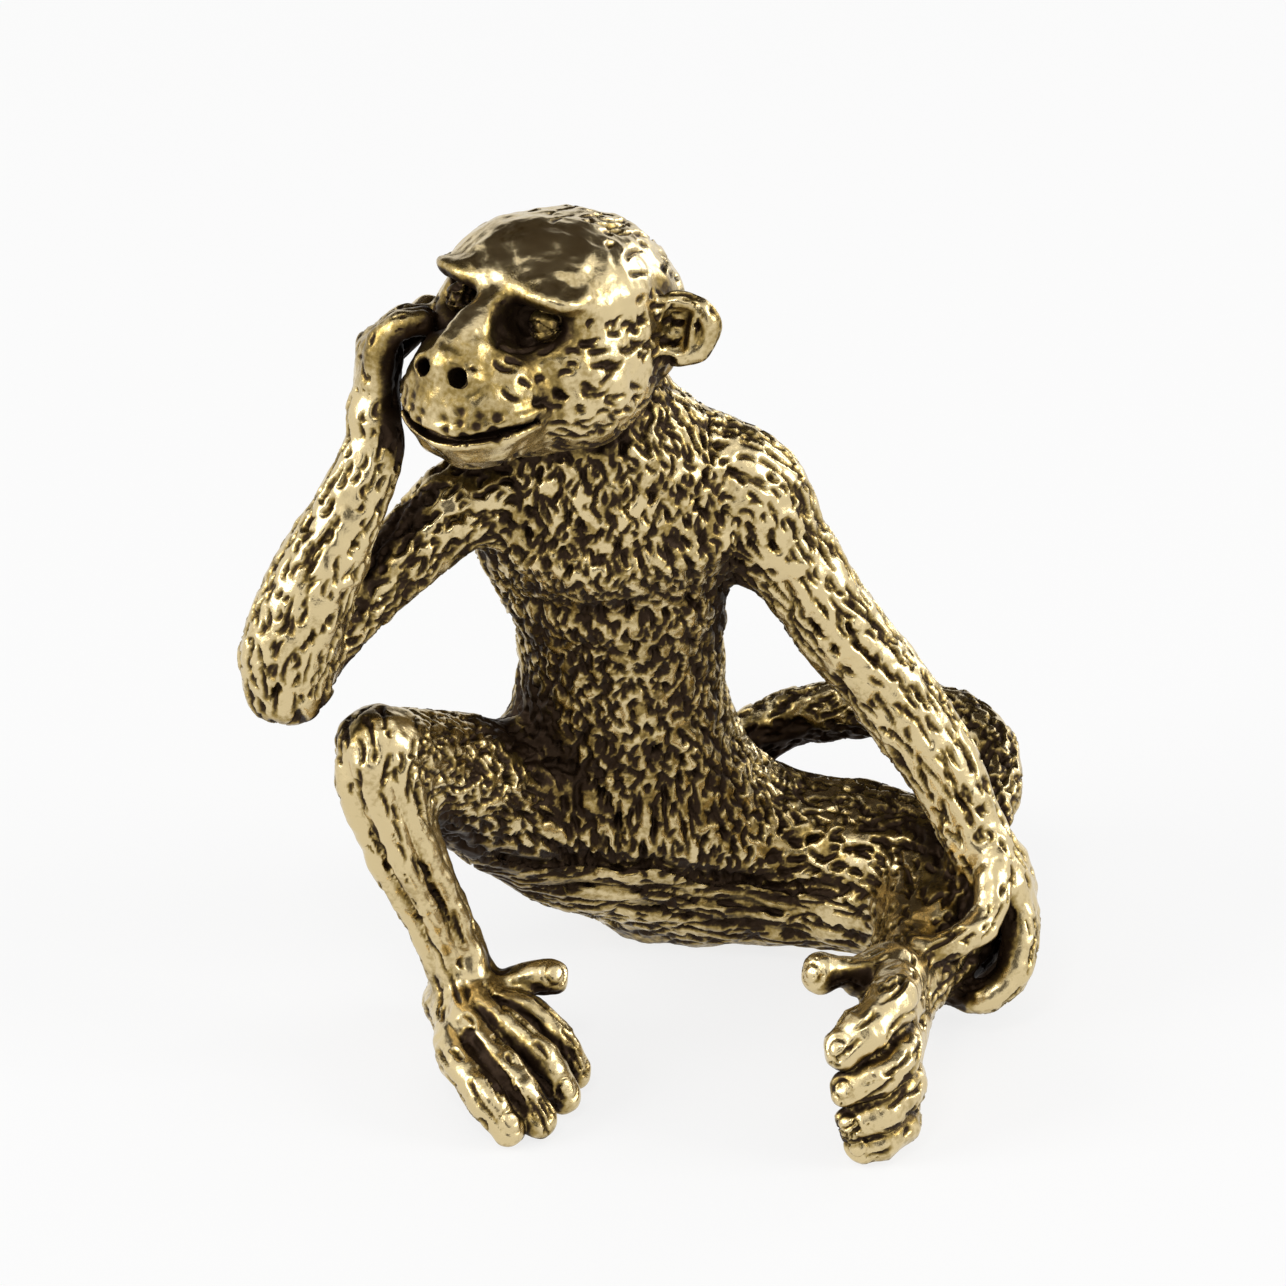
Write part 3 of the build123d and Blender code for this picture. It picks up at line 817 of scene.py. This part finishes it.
# %% Which piece each spot belongs to, and how its fur lies
def read_skin(points):
    """How far each node's forms are from each point, which way hair runs there, and its three coats."""
    reach = np.full((len(nodes), len(points)), 9.0, np.float32)
    hair = np.zeros((len(points), 3), np.float32)
    coat = np.zeros((len(points), 3), np.float32)
    weight = np.full(len(points), 1e-9, np.float32)
    for form in forms:
        inside = in_box(points, form["low"], form["high"])
        if len(inside):
            far, runs = measure(form, points[inside])
            row = nodes.index(form["node"])
            reach[row, inside] = np.minimum(reach[row, inside], far)
            pull = np.exp(-np.maximum(far, -0.2) / 0.3)
            runs = runs / (np.linalg.norm(runs, axis=1, keepdims=True) + 1e-9)
            hair[inside] += runs * pull[:, None]
            coats = form["coat"] if "coat" in form else head_coat(points[inside])
            coat[inside] += np.array(coats, np.float32) * pull[:, None]
            weight[inside] += pull
    return reach, hair / weight[:, None], coat / weight[:, None]


found = in_threads(read_skin, verts.astype(np.float32))
reach = np.concatenate([r for r, _, _ in found], 1)
hair = np.concatenate([h for _, h, _ in found])
coat = np.concatenate([c for _, _, c in found])
print("mean coats", coat.mean(0).round(2))

# %% How open each spot is, at three distances
shelter_and_shade = np.ones(len(verts))
for far, weight in ((0.6, 0.7), (1.8, 0.5), (3.5, 0.4)):
    out = np.concatenate(in_threads(carve, (verts + normals * far).astype(np.float32)))
    shelter_and_shade *= np.clip(out / min(far, 2.6), 0.05, 1) ** weight
print("open share before the cloth", float(shelter_and_shade.mean().round(3)))

# %% Whisker dots and clefts count as marks
aside, ahead, above = ((verts - skull_at) @ head_frame).T
mirrored = np.column_stack((np.abs(aside), ahead, above))
near_head = np.linalg.norm(verts - skull_at, axis=1) < head_reach
first_marks = 0.9 * whiskers(mirrored.astype(np.float32)) * near_head
first_marks = np.maximum(first_marks, 0.8 * beside_clefts(verts.astype(np.float32)))
print("vertices in a dot or a cleft", int((first_marks > 0.3).sum()))

# %% Oxide in the sockets, darker on the belly and the seat, painted shade on the face's front and on down-facing surfaces, and rubbed eyes and knee
across, back, up = verts.T
rise = view_up[1] * up + view_up[0] * back
sockets = ripple(np.abs(aside), 2.0, 2.0) * ripple(ahead, -6.0, 1.9) * ripple(above, 0.8, 1.3) * near_head
# The face's front gets painted shade
face = falling(ahead, -5.2, 1) * between(above, -4.6, 0.8, 1.5) * near_head
belly = between(rise, 8.0, 18.8, 1.5) * between(across, -6.5, 5.5, 2.0) * falling(back, 5, 2) * (up < 22)
seat = between(rise, 1.5, 8.5, 1.0) * between(across, -9, 11, 2.0) * between(back, -1, 6, 2)
# Down-facing surfaces get painted shade
under = rising(-normals[:, 2], 0.2, 0.6)
for share, place in ((0.2, belly), (0.1, seat), (0.5, sockets), (0.4, under), (0.3, face)):
    shelter_and_shade *= 1 - share * place
# The eyes lie deep in their sockets, but they were rubbed too
eyes = np.linalg.norm(mirrored - eye_at, axis=1) < 0.8
shelter_and_shade = np.where(eyes & near_head, np.maximum(shelter_and_shade, 0.42), shelter_and_shade)
# The elbow is close to the right knee, but the cloth reached in between
knee = placed(((-0.325, -0.160, 0.395),))[0]
shelter_and_shade = np.maximum(shelter_and_shade, 0.62 * np.exp(-((verts - knee) ** 2).sum(1) / 4.5**2))
print("open share of the skin", float(shelter_and_shade.mean().round(3)))

# %% Long strokes below and above the groove, and no fur where the figure stands
off_floor = rising(up, 0.3, 0.9)
below_groove = between(rise, 1.5, np.interp(across, groove_across, (7.1, 6.8, 6.2, 5.5)), 0.4)
below_groove *= between(across, -9, 11, 2.0) * falling(back, 6, 2) * rising(back, -1, 1.5)
fringe = between(rise, 6.8, 10.4, 0.5) * between(across, -7, 4, 1.5) * falling(back, 6, 2)
coat *= off_floor[:, None]
coat[:, 1] *= (1 - 0.75 * below_groove) * (1 - 0.5 * fringe)
coat[:, 2] = np.maximum(coat[:, 2], np.maximum(0.9 * below_groove, fringe) * off_floor)
hair = hair * (1 - below_groove[:, None]) + below_groove[:, None] * np.array((1.0, -0.1, -0.1))
print("mean coats now", coat.mean(0).round(2))

# %% [markdown]
# ## Fur
# The real fur is a few thousand short marks, pressed into the wax with the tip of a tool. They could be
# modelled one by one, but they follow a rule: they keep their distance from each other and lie along
# the limb. Geometry Nodes scatter points at that distance and dent the skin round each of them. One
# tree makes all three coats, with its sizes as inputs.

# %% A helper for nodes
def add_node(tree, kind, inputs=None, **settings):
    """Adds one node. An input is a plain value, or the socket or node that feeds it."""
    node = tree.nodes.new(kind)
    for key, value in settings.items():
        setattr(node, key, value)
    for key, value in (inputs or {}).items():
        if isinstance(value, bpy.types.Node):
            value = value.outputs[0]
        if isinstance(value, bpy.types.NodeSocket):
            tree.links.new(value, node.inputs[key])
        else:
            node.inputs[key].default_value = value
    return node


# %% A tree that changes a skin: how it begins and ends
def new_tree(name, inputs):
    """A tree that takes a skin, the named inputs and a material, and the sockets that they come in by."""
    tree = bpy.data.node_groups.new(name, "GeometryNodeTree")
    tree.interface.new_socket("Skin", in_out="OUTPUT", socket_type="NodeSocketGeometry")
    for label, kind in (("Skin", "Geometry"), *inputs, ("Metal", "Material")):
        tree.interface.new_socket(label, in_out="INPUT", socket_type=f"NodeSocket{kind}")
    return tree, add_node(tree, "NodeGroupInput").outputs


def give_back(tree, given, changed):
    """Ends the tree: the changed skin is made real, gets its metal and goes out."""
    real = add_node(tree, "GeometryNodeRealizeInstances", {"Geometry": changed})
    painted = add_node(tree, "GeometryNodeSetMaterial", {"Geometry": real, "Material": given["Metal"]})
    add_node(tree, "NodeGroupOutput", {"Skin": painted})
    print(tree.name, "has", len(tree.nodes), "nodes")


# %% The fur tree: inputs and scattered points
fur, given = new_tree("fur marks", (
    ("Where", "String"),
    ("Spacing", "Float"),
    ("Length", "Float"),
    ("Width", "Float"),
    ("Depth", "Float"),
    ("Turn", "Float"),
    ("Seed", "Int"),
))
where = add_node(fur, "GeometryNodeInputNamedAttribute", {"Name": given["Where"]}, data_type="FLOAT")
spots = add_node(fur, "GeometryNodeDistributePointsOnFaces", {
    "Mesh": given["Skin"],
    "Distance Min": given["Spacing"],
    "Density Max": 1.5e7,
    "Density Factor": where,
    "Seed": given["Seed"],
}, distribute_method="POISSON").outputs["Points"]
nearest = add_node(fur, "GeometryNodeSampleNearest", {"Geometry": spots}, domain="POINT").outputs["Index"]
# Each mark has its own luck: how far it turns, how long it is and how it bends
luck = add_node(fur, "FunctionNodeRandomValue", {
    0: (-1.0, 0.55, -1.3),
    1: (1.0, 1.3, 1.3),
    "Seed": given["Seed"],
}, data_type="FLOAT_VECTOR")
here = add_node(fur, "GeometryNodeInputPosition")
at_spot = []
for value in (here, luck):
    asked = {"Geometry": spots, "Value": value, "Index": nearest}
    at_spot.append(add_node(fur, "GeometryNodeSampleIndex", asked, data_type="FLOAT_VECTOR"))
print("nodes so far", len(fur.nodes))

# %% The fur tree: one comma-shaped dent
outward = add_node(fur, "GeometryNodeInputNamedAttribute", {"Name": "outward"}, data_type="FLOAT_VECTOR")
lie = add_node(fur, "GeometryNodeInputNamedAttribute", {"Name": "hair"}, data_type="FLOAT_VECTOR")
swing, stretch, bend = add_node(fur, "ShaderNodeSeparateXYZ", {0: at_spot[1]}).outputs
swing = add_node(fur, "ShaderNodeMath", {0: swing, 1: given["Turn"]}, operation="MULTIPLY")
lie = add_node(fur, "ShaderNodeVectorRotate", {"Vector": lie, "Axis": outward, "Angle": swing})
across = add_node(fur, "ShaderNodeVectorMath", {0: outward, 1: lie}, operation="CROSS_PRODUCT")
across = add_node(fur, "ShaderNodeVectorMath", {0: across}, operation="NORMALIZE")
along = add_node(fur, "ShaderNodeVectorMath", {0: across, 1: outward}, operation="CROSS_PRODUCT")
away = add_node(fur, "ShaderNodeVectorMath", {0: here, 1: at_spot[0]}, operation="SUBTRACT")
run = add_node(fur, "ShaderNodeVectorMath", {0: away, 1: along}, operation="DOT_PRODUCT").outputs["Value"]
off = add_node(fur, "ShaderNodeVectorMath", {0: away, 1: across}, operation="DOT_PRODUCT").outputs["Value"]
# Each step has a name, what is done, and what it is done to: a number, an input or a step by its name
step = {"run": run, "off": off, "stretch": stretch, "bend": bend}
step.update({"length": given["Length"], "width": given["Width"]})
for name, operation, *terms in (
    ("half", "MULTIPLY", "length", "stretch"),
    ("run", "DIVIDE", "run", "half"),
    ("run squared", "MULTIPLY", "run", "run"),
    ("bend", "MULTIPLY", "bend", "width"),
    ("off", "MULTIPLY_ADD", "run squared", "bend", "off"),
    ("taper", "MULTIPLY_ADD", "run", -0.3, 0.9),
    ("taper", "MULTIPLY", "taper", "width"),
    ("off", "DIVIDE", "off", "taper"),
    ("off squared", "MULTIPLY", "off", "off"),
    ("ends", "SUBTRACT", 1.0, "run squared"),
    ("sides", "SUBTRACT", 1.0, "off squared"),
    ("mark", "MULTIPLY", "ends", "sides"),
    ("mark", "POWER", "mark", 0.7),
):
    inputs = {place: step.get(term, term) for place, term in enumerate(terms)}
    clamped = operation == "SUBTRACT"
    step[name] = add_node(fur, "ShaderNodeMath", inputs, operation=operation, use_clamp=clamped)
mark = step["mark"]
print("nodes so far", len(fur.nodes))

# %% The fur tree: dent the skin and remember how deep
drop = add_node(fur, "ShaderNodeMath", {0: mark, 1: given["Depth"]}, operation="MULTIPLY")
inward = add_node(fur, "ShaderNodeMath", {0: drop, 1: -1.0}, operation="MULTIPLY")
shift = add_node(fur, "ShaderNodeVectorMath", {0: outward, "Scale": inward}, operation="SCALE")
dented = add_node(fur, "GeometryNodeSetPosition", {"Geometry": given["Skin"], "Offset": shift})
before = add_node(fur, "GeometryNodeInputNamedAttribute", {"Name": "pit"}, data_type="FLOAT")
deepest = add_node(fur, "ShaderNodeMath", {0: before, 1: mark}, operation="MAXIMUM")
kept = add_node(fur, "GeometryNodeStoreNamedAttribute", {
    "Geometry": dented,
    "Name": "pit",
    "Value": deepest,
}, data_type="FLOAT", domain="POINT")
give_back(fur, given, kept)


# %% [markdown]
# The wax was worked by hand, so no surface is even. A second, small tree moves the skin in and out by
# smooth noise: lumps of 1.7 mm and finer ones of 0.6 mm. They give the polished metal its lively glints.

# %% The tree of hand-worked lumps
lumps, given = new_tree("hand-worked lumps", (("Size", "Float"), ("Depth", "Float")))
outward = add_node(lumps, "GeometryNodeInputNamedAttribute", {"Name": "outward"}, data_type="FLOAT_VECTOR")
scale = add_node(lumps, "ShaderNodeMath", {0: 1.0, 1: given["Size"]}, operation="DIVIDE")
noise = add_node(lumps, "ShaderNodeTexNoise", {"Scale": scale, "Detail": 1.0})
half_depth = add_node(lumps, "ShaderNodeMath", {0: given["Depth"], 1: -0.5}, operation="MULTIPLY")
terms = {0: noise, 1: given["Depth"], 2: half_depth}
height = add_node(lumps, "ShaderNodeMath", terms, operation="MULTIPLY_ADD")
shift = add_node(lumps, "ShaderNodeVectorMath", {0: outward, "Scale": height}, operation="SCALE")
moved = add_node(lumps, "GeometryNodeSetPosition", {"Geometry": given["Skin"], "Offset": shift})
give_back(lumps, given, moved)


# %% The whole skin as one object
mm = 0.001
scene = bpy.context.scene


def mesh_from(name, points, faces, values):
    """A Blender mesh in metres from points in millimetres, with a value or a direction on each vertex."""
    mesh = bpy.data.meshes.new(name)
    mesh.vertices.add(len(points))
    mesh.vertices.foreach_set("co", (points * mm).astype(np.float32).ravel())
    mesh.loops.add(sum(f.size for f in faces))
    mesh.loops.foreach_set("vertex_index", np.concatenate([f.ravel() for f in faces]).astype(np.int32))
    mesh.polygons.add(sum(len(f) for f in faces))
    sides = np.concatenate([np.full(len(f), f.shape[1]) for f in faces])
    mesh.polygons.foreach_set("loop_start", (np.cumsum(sides) - sides).astype(np.int32))
    mesh.update(calc_edges=True)
    mesh.polygons.foreach_set("use_smooth", np.ones(len(mesh.polygons), bool))
    for label, value in values.items():
        kind, field_name = ("FLOAT", "value") if value.ndim == 1 else ("FLOAT_VECTOR", "vector")
        data = mesh.attributes.new(label, kind, "POINT")
        data.data.foreach_set(field_name, value.astype(np.float32).ravel())
    return mesh


brass = bpy.data.materials.new("cast brass, blackened and rubbed bright")
skin_values = {"pits": coat[:, 0], "dense": coat[:, 1], "strokes": coat[:, 2]}
skin_values.update({"hair": hair, "outward": normals, "pit": first_marks})
skin = bpy.data.objects.new("skin", mesh_from("skin", verts, [faces], skin_values))
scene.collection.objects.link(skin)
print("skin triangles", 2 * len(faces))


# %% Work the lumps in
def work_skin(tree, name, values):
    """Adds a tree to the skin as a modifier and sets its inputs by name."""
    modifier = skin.modifiers.new(name, "NODES")
    modifier.node_group = tree
    for item in tree.interface.items_tree:
        if item.in_out == "INPUT" and item.name in values:
            modifier[item.identifier] = values[item.name]


for size, depth in ((1.7, 0.5), (0.6, 0.1)):
    work_skin(lumps, f"lumps {size}", {"Size": size * mm, "Depth": depth * mm, "Metal": brass})

# %% Press in the fur: three coats, each from several seeds, sizes in millimetres
for where_name, seeds, spacing, half_length, half_width, depth, turn_most in (
    ("strokes", 3, 1.15, 0.95, 0.15, 0.17, 0.2),
    ("pits", 3, 1.1, 0.46, 0.18, 0.18, 0.4),
    ("dense", 4, 0.82, 0.45, 0.165, 0.15, 0.75),
):
    for seed in range(seeds):
        work_skin(fur, f"{where_name} {seed}", {
            "Where": where_name,
            "Spacing": spacing * mm,
            "Length": half_length * mm,
            "Width": half_width * mm,
            "Depth": depth * mm,
            "Turn": turn_most,
            "Seed": 10 * seed + len(where_name),
            "Metal": brass,
        })
print("modifiers", len(skin.modifiers))

# %% Read the furred skin back, in millimetres
furred = bpy.data.meshes.new_from_object(skin.evaluated_get(bpy.context.evaluated_depsgraph_get()))
bpy.data.objects.remove(skin)
flat = np.zeros(len(verts) * 3, np.float32)
furred.vertices.foreach_get("co", flat)
furred_verts = flat.reshape(-1, 3).astype(float) * 1000
furred_verts[:, 2] = np.maximum(furred_verts[:, 2], 0.01)
pit = np.zeros(len(verts), np.float32)
furred.attributes["pit"].data.foreach_get("value", pit)
print("share of the skin in a mark", float((pit > 0.3).mean().round(3)))

# %% [markdown]
# ## Split the skin into the casting's pieces
# Each face goes to the node that is nearest, so that every piece of the sculpt stands for one piece of
# the frame. Neighbours keep the same vertices along the cut, and each piece gets a hidden cap there.


# %% Build one piece
def edge_keys(a, b, count):
    """One number for each edge, the same from both of its ends."""
    return np.minimum(a, b).astype(np.int64) * count + np.maximum(a, b)


def build_piece(name, points, faces, values):
    """A closed mesh of some of the skin's faces, with a cap over every cut."""
    used, local = np.unique(faces, return_inverse=True)
    quads = local.reshape(-1, 4)
    starts = quads.reshape(-1)
    ends = np.roll(quads, -1, 1).reshape(-1)
    _, first, times = np.unique(edge_keys(starts, ends, len(used)), return_index=True, return_counts=True)
    open_edges = first[times == 1]
    a, b = starts[open_edges], ends[open_edges]
    group = np.arange(len(used))
    while True:
        before = group.copy()
        joined = np.minimum(group[a], group[b])
        np.minimum.at(group, a, joined)
        np.minimum.at(group, b, joined)
        if (before == group).all():
            break
    loops, which = np.unique(group[a], return_inverse=True)
    centres = np.array([points[used[a[which == n]]].mean(0) for n in range(len(loops))]).reshape(-1, 3)
    caps = np.stack((b, a, len(used) + which), -1)
    co = np.vstack((points[used], centres))
    padded = {label: np.concatenate((value[used], np.zeros(len(loops)))) for label, value in values.items()}
    mesh = mesh_from(name, co, [quads, caps], padded)
    mesh.validate()
    pairs = np.zeros(len(mesh.edges) * 2, np.int32)
    mesh.edges.foreach_get("vertices", pairs)
    cut = np.isin(edge_keys(pairs[::2], pairs[1::2], len(co)), edge_keys(a, b, len(co)))
    mesh.attributes.new("sharp_edge", "BOOLEAN", "EDGE").data.foreach_set("value", cut)
    mesh.materials.append(brass)
    piece = bpy.data.objects.new(name, mesh)
    scene.collection.objects.link(piece)
    return piece


# %% Make the pieces and stand them for the nodes
owner = reach[:, faces].mean(2).argmin(0)
chest_from = 16.5
in_chest = furred_verts[faces, 2].mean(1) > chest_from
# The open share goes to the metal with the painted shade of the face's front and of down-facing surfaces in
# it
metal_values = {"shelter_and_shade": shelter_and_shade, "pit": pit, "shaggy": coat[:, 1]}
for row, node in enumerate(nodes):
    parts = {f"cast_{node}": owner == row}
    if node == "torso":
        parts = {"cast_chest": (owner == row) & in_chest, "cast_seat": (owner == row) & ~in_chest}
    for name, chosen_faces in parts.items():
        piece = build_piece(name, furred_verts, faces[chosen_faces], metal_values)
        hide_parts(node)
        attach(piece, "root")
        print(name, len(piece.data.loops) - 2 * len(piece.data.polygons), "triangles")


# %% [markdown]
# ## The metal
# Cast brass is a copper and zinc alloy with a warm yellow reflection. The foundry dips the casting in a
# dark bath, which leaves a brown-black oxide everywhere, and then rubs it with a cloth. The cloth
# reaches only open spots. So the colour follows two facts about each spot: how open it is, worked out
# from the sculpt and carrying painted shade on the face's front and on down-facing surfaces, and how
# deep it lies in a fur mark. Oxide, and with it the painted shade, is also rougher than rubbed metal.

# %% Colours as hex codes
def linear(code):
    """A colour given as an sRGB hex code, as the linear numbers that Blender mixes."""
    parts = [int(code[i:i + 2], 16) / 255 for i in (1, 3, 5)]
    return [c / 12.92 if c <= 0.04045 else ((c + 0.055) / 1.055) ** 2.4 for c in parts] + [1.0]


# %% Where the cloth rubbed the brass, and where shade is painted on it
brass.use_nodes = True
tree = brass.node_tree
shader = tree.nodes["Principled BSDF"]
coordinates = add_node(tree, "ShaderNodeTexCoord").outputs["Object"]
openness_and_shade = add_node(tree, "ShaderNodeAttribute", attribute_name="shelter_and_shade").outputs["Fac"]
in_mark = add_node(tree, "ShaderNodeAttribute", attribute_name="pit").outputs["Fac"]
shaggy = add_node(tree, "ShaderNodeAttribute", attribute_name="shaggy").outputs["Fac"]
# The rubbing is uneven in clouds of 2.5 mm, left specks of oxide of 0.25 mm, and left blotches of
# about 0.9 mm black in the dense coat. A noise scale is one over the size in metres.
noises = []
for scale, detail, low, high, least, most in (
    (400.0, 3.0, 0.3, 0.7, -0.2, 0.17),
    (4000.0, 2.0, 0.3, 0.7, -0.14, 0.12),
    (1100.0, 2.0, 0.5, 0.57, 0.04, -0.26),
):
    noise = add_node(tree, "ShaderNodeTexNoise", {"Vector": coordinates, "Scale": scale, "Detail": detail})
    limits = {"Value": noise, 1: low, 2: high, 3: least, 4: most}
    noises.append(add_node(tree, "ShaderNodeMapRange", limits))
uneven, specked, blots = noises
blots = add_node(tree, "ShaderNodeMath", {0: blots, 1: shaggy}, operation="MULTIPLY")
# Brightness from rubbing, lowered in fur marks and by the painted shade that the open share carries
rubbed_with_painted_shade = add_node(tree, "ShaderNodeMath", {0: in_mark, 1: -0.9, 2: openness_and_shade}, operation="MULTIPLY_ADD")
rubbed_with_painted_shade = add_node(tree, "ShaderNodeMath", {0: rubbed_with_painted_shade, 1: uneven}, operation="ADD")
rubbed_with_painted_shade = add_node(tree, "ShaderNodeMath", {0: rubbed_with_painted_shade, 1: blots}, operation="ADD")
rubbed_with_painted_shade = add_node(tree, "ShaderNodeMath", {0: rubbed_with_painted_shade, 1: specked}, operation="ADD", use_clamp=True)

# %% Colour from oxide and painted shade to rubbed brass
ramp = add_node(tree, "ShaderNodeValToRGB", {"Fac": rubbed_with_painted_shade})
colours = ramp.color_ramp.elements
colours[0].position, colours[1].position = 0.1, 0.9
colours[0].color, colours[1].color = linear("#2e1e0d"), linear("#d9c597")
for position, code in ((0.3, "#4f4026"), (0.55, "#9a834c")):
    colours.new(position).color = linear(code)
bare = add_node(tree, "ShaderNodeMapRange", {"Value": rubbed_with_painted_shade, 1: 0.1, 2: 0.35, 3: 0.75, 4: 1.0})
dull = add_node(tree, "ShaderNodeMapRange", {"Value": rubbed_with_painted_shade, 1: 0.1, 2: 0.7, 3: 0.55, 4: 0.24})
# The cast grain is about 0.12 mm, from the plaster mould
grain = add_node(tree, "ShaderNodeTexNoise", {"Vector": coordinates, "Scale": 8000.0, "Detail": 3.0})
bump = add_node(tree, "ShaderNodeBump", {"Height": grain, "Strength": 0.35, "Distance": 0.03 * mm})
for name, source in (("Base Color", ramp), ("Metallic", bare), ("Roughness", dull), ("Normal", bump)):
    tree.links.new(source.outputs[0], shader.inputs[name])
print("material", brass.name, "nodes", len(tree.nodes))

# %% [markdown]
# ## Studio
# The photograph has a white surround, soft light from both sides, and a camera a little above the
# figure, looking down by 28 degrees.

# %% Camera
aim = Vector((0.0, 0.0, 0.0192))
view_width = 0.0585
lens, sensor = 500.0, 36.0
distance = view_width * lens / sensor
height = radians(28)
camera = bpy.data.objects.new("camera", bpy.data.cameras.new("camera"))
camera.data.lens = lens
camera.data.sensor_width = sensor
camera.data.clip_start = 0.01
camera.location = aim + distance * Vector((0, -cos(height), sin(height)))
camera.rotation_euler = (pi / 2 - height, 0, 0)
scene.collection.objects.link(camera)
scene.camera = camera
print("camera stands", round(distance, 3), "m away")


# %% A white surround that lights the figure at a plain level
def seen_straight(tree):
    """A node that gives one for what the camera sees, straight, in metal or through glass."""
    ray = add_node(tree, "ShaderNodeLightPath").outputs
    seen = ray["Is Camera Ray"]
    for name in ("Is Glossy Ray", "Is Transmission Ray"):
        seen = add_node(tree, "ShaderNodeMath", {0: seen, 1: ray[name]}, operation="MAXIMUM")
    return seen


world = bpy.data.worlds.new("white studio")
scene.world = world
world.use_nodes = True
tree = world.node_tree
tree.nodes.clear()
seen = seen_straight(tree)
soft_light = add_node(tree, "ShaderNodeBackground", {"Color": (1, 1, 1, 1), "Strength": 0.5})
white = add_node(tree, "ShaderNodeBackground", {"Color": (1, 1, 1, 1), "Strength": 1.0})
mixed = add_node(tree, "ShaderNodeMixShader", {0: seen, 1: soft_light, 2: white})
add_node(tree, "ShaderNodeOutputWorld", {0: mixed})


# %% Floor
def flat_card(name, half_size, material):
    """A flat square card with one material."""
    card = bpy.data.meshes.new(name)
    corners = [(x * half_size, y * half_size, 0) for x, y in ((-1, -1), (1, -1), (1, 1), (-1, 1))]
    card.from_pydata(corners, [], [(0, 1, 2, 3)])
    card.materials.append(material)
    return bpy.data.objects.new(name, card)


paper = bpy.data.materials.new("white paper")
floor = flat_card("floor", 1.0, paper)
scene.collection.objects.link(floor)
paper.use_nodes = True
tree = paper.node_tree
sheet = tree.nodes["Principled BSDF"]
sheet.inputs["Base Color"].default_value = linear("#f6f6f6")
sheet.inputs["Roughness"].default_value = 0.9
# Seen straight or in the metal, the paper is mostly as white as the surround, and keeps a soft shadow
seen = add_node(tree, "ShaderNodeMath", {0: seen_straight(tree), 1: 0.8}, operation="MULTIPLY")
shine = add_node(tree, "ShaderNodeEmission", {"Color": (1, 1, 1, 1), "Strength": 1.0})
paper_mix = add_node(tree, "ShaderNodeMixShader", {0: seen, 1: sheet, 2: shine})
tree.links.new(paper_mix.outputs[0], tree.nodes["Material Output"].inputs["Surface"])
print("floor", floor.name)


# %% [markdown]
# Polished metal shows what stands round it. In the photograph it reflects bright boxes at both sides
# and darkness from above and from the camera, which gives the brass its contrast. So soft boxes stand
# left and right, and two black flags, seen only in reflections, hang above and behind the camera.

# %% Turn a thing toward the figure
def toward_figure(thing, place):
    """Puts a lamp or a card at a place, in metres, and turns it to the figure."""
    thing.location = place
    thing.rotation_euler = (Vector((0, 0, 0.02)) - Vector(place)).to_track_quat("-Z", "Y").to_euler()
    scene.collection.objects.link(thing)


# %% Lamps
for name, place, size, power in (
    ("left_box", (-0.42, -0.16, 0.24), 0.26, 1.1),
    ("right_box", (0.42, -0.08, 0.20), 0.22, 0.8),
    ("key", (-0.10, -0.34, 0.46), 0.10, 0.35),
    ("back", (0.34, 0.36, 0.12), 0.16, 0.35),
):
    lamp = bpy.data.objects.new(name, bpy.data.lights.new(name, "AREA"))
    lamp.data.size = size
    lamp.data.energy = power
    toward_figure(lamp, place)
print("lamps", len(bpy.data.lights))

# %% Black flags
felt = bpy.data.materials.new("black felt")
felt.use_nodes = True
cloth = felt.node_tree.nodes["Principled BSDF"]
cloth.inputs["Base Color"].default_value = linear("#40362a")
cloth.inputs["Roughness"].default_value = 1.0
for name, place, half_size in (
    ("flag_above", (0.0, 0.35, 0.50), 0.5),
    ("flag_behind_camera", (0.0, -0.95, 0.46), 0.28),
):
    flag = flat_card(name, half_size, felt)
    toward_figure(flag, place)
    flag.visible_camera = False
    flag.visible_diffuse = False
    flag.visible_shadow = False
    print(name, "at", place)

# %% Finish
scene.view_settings.view_transform = "Standard"
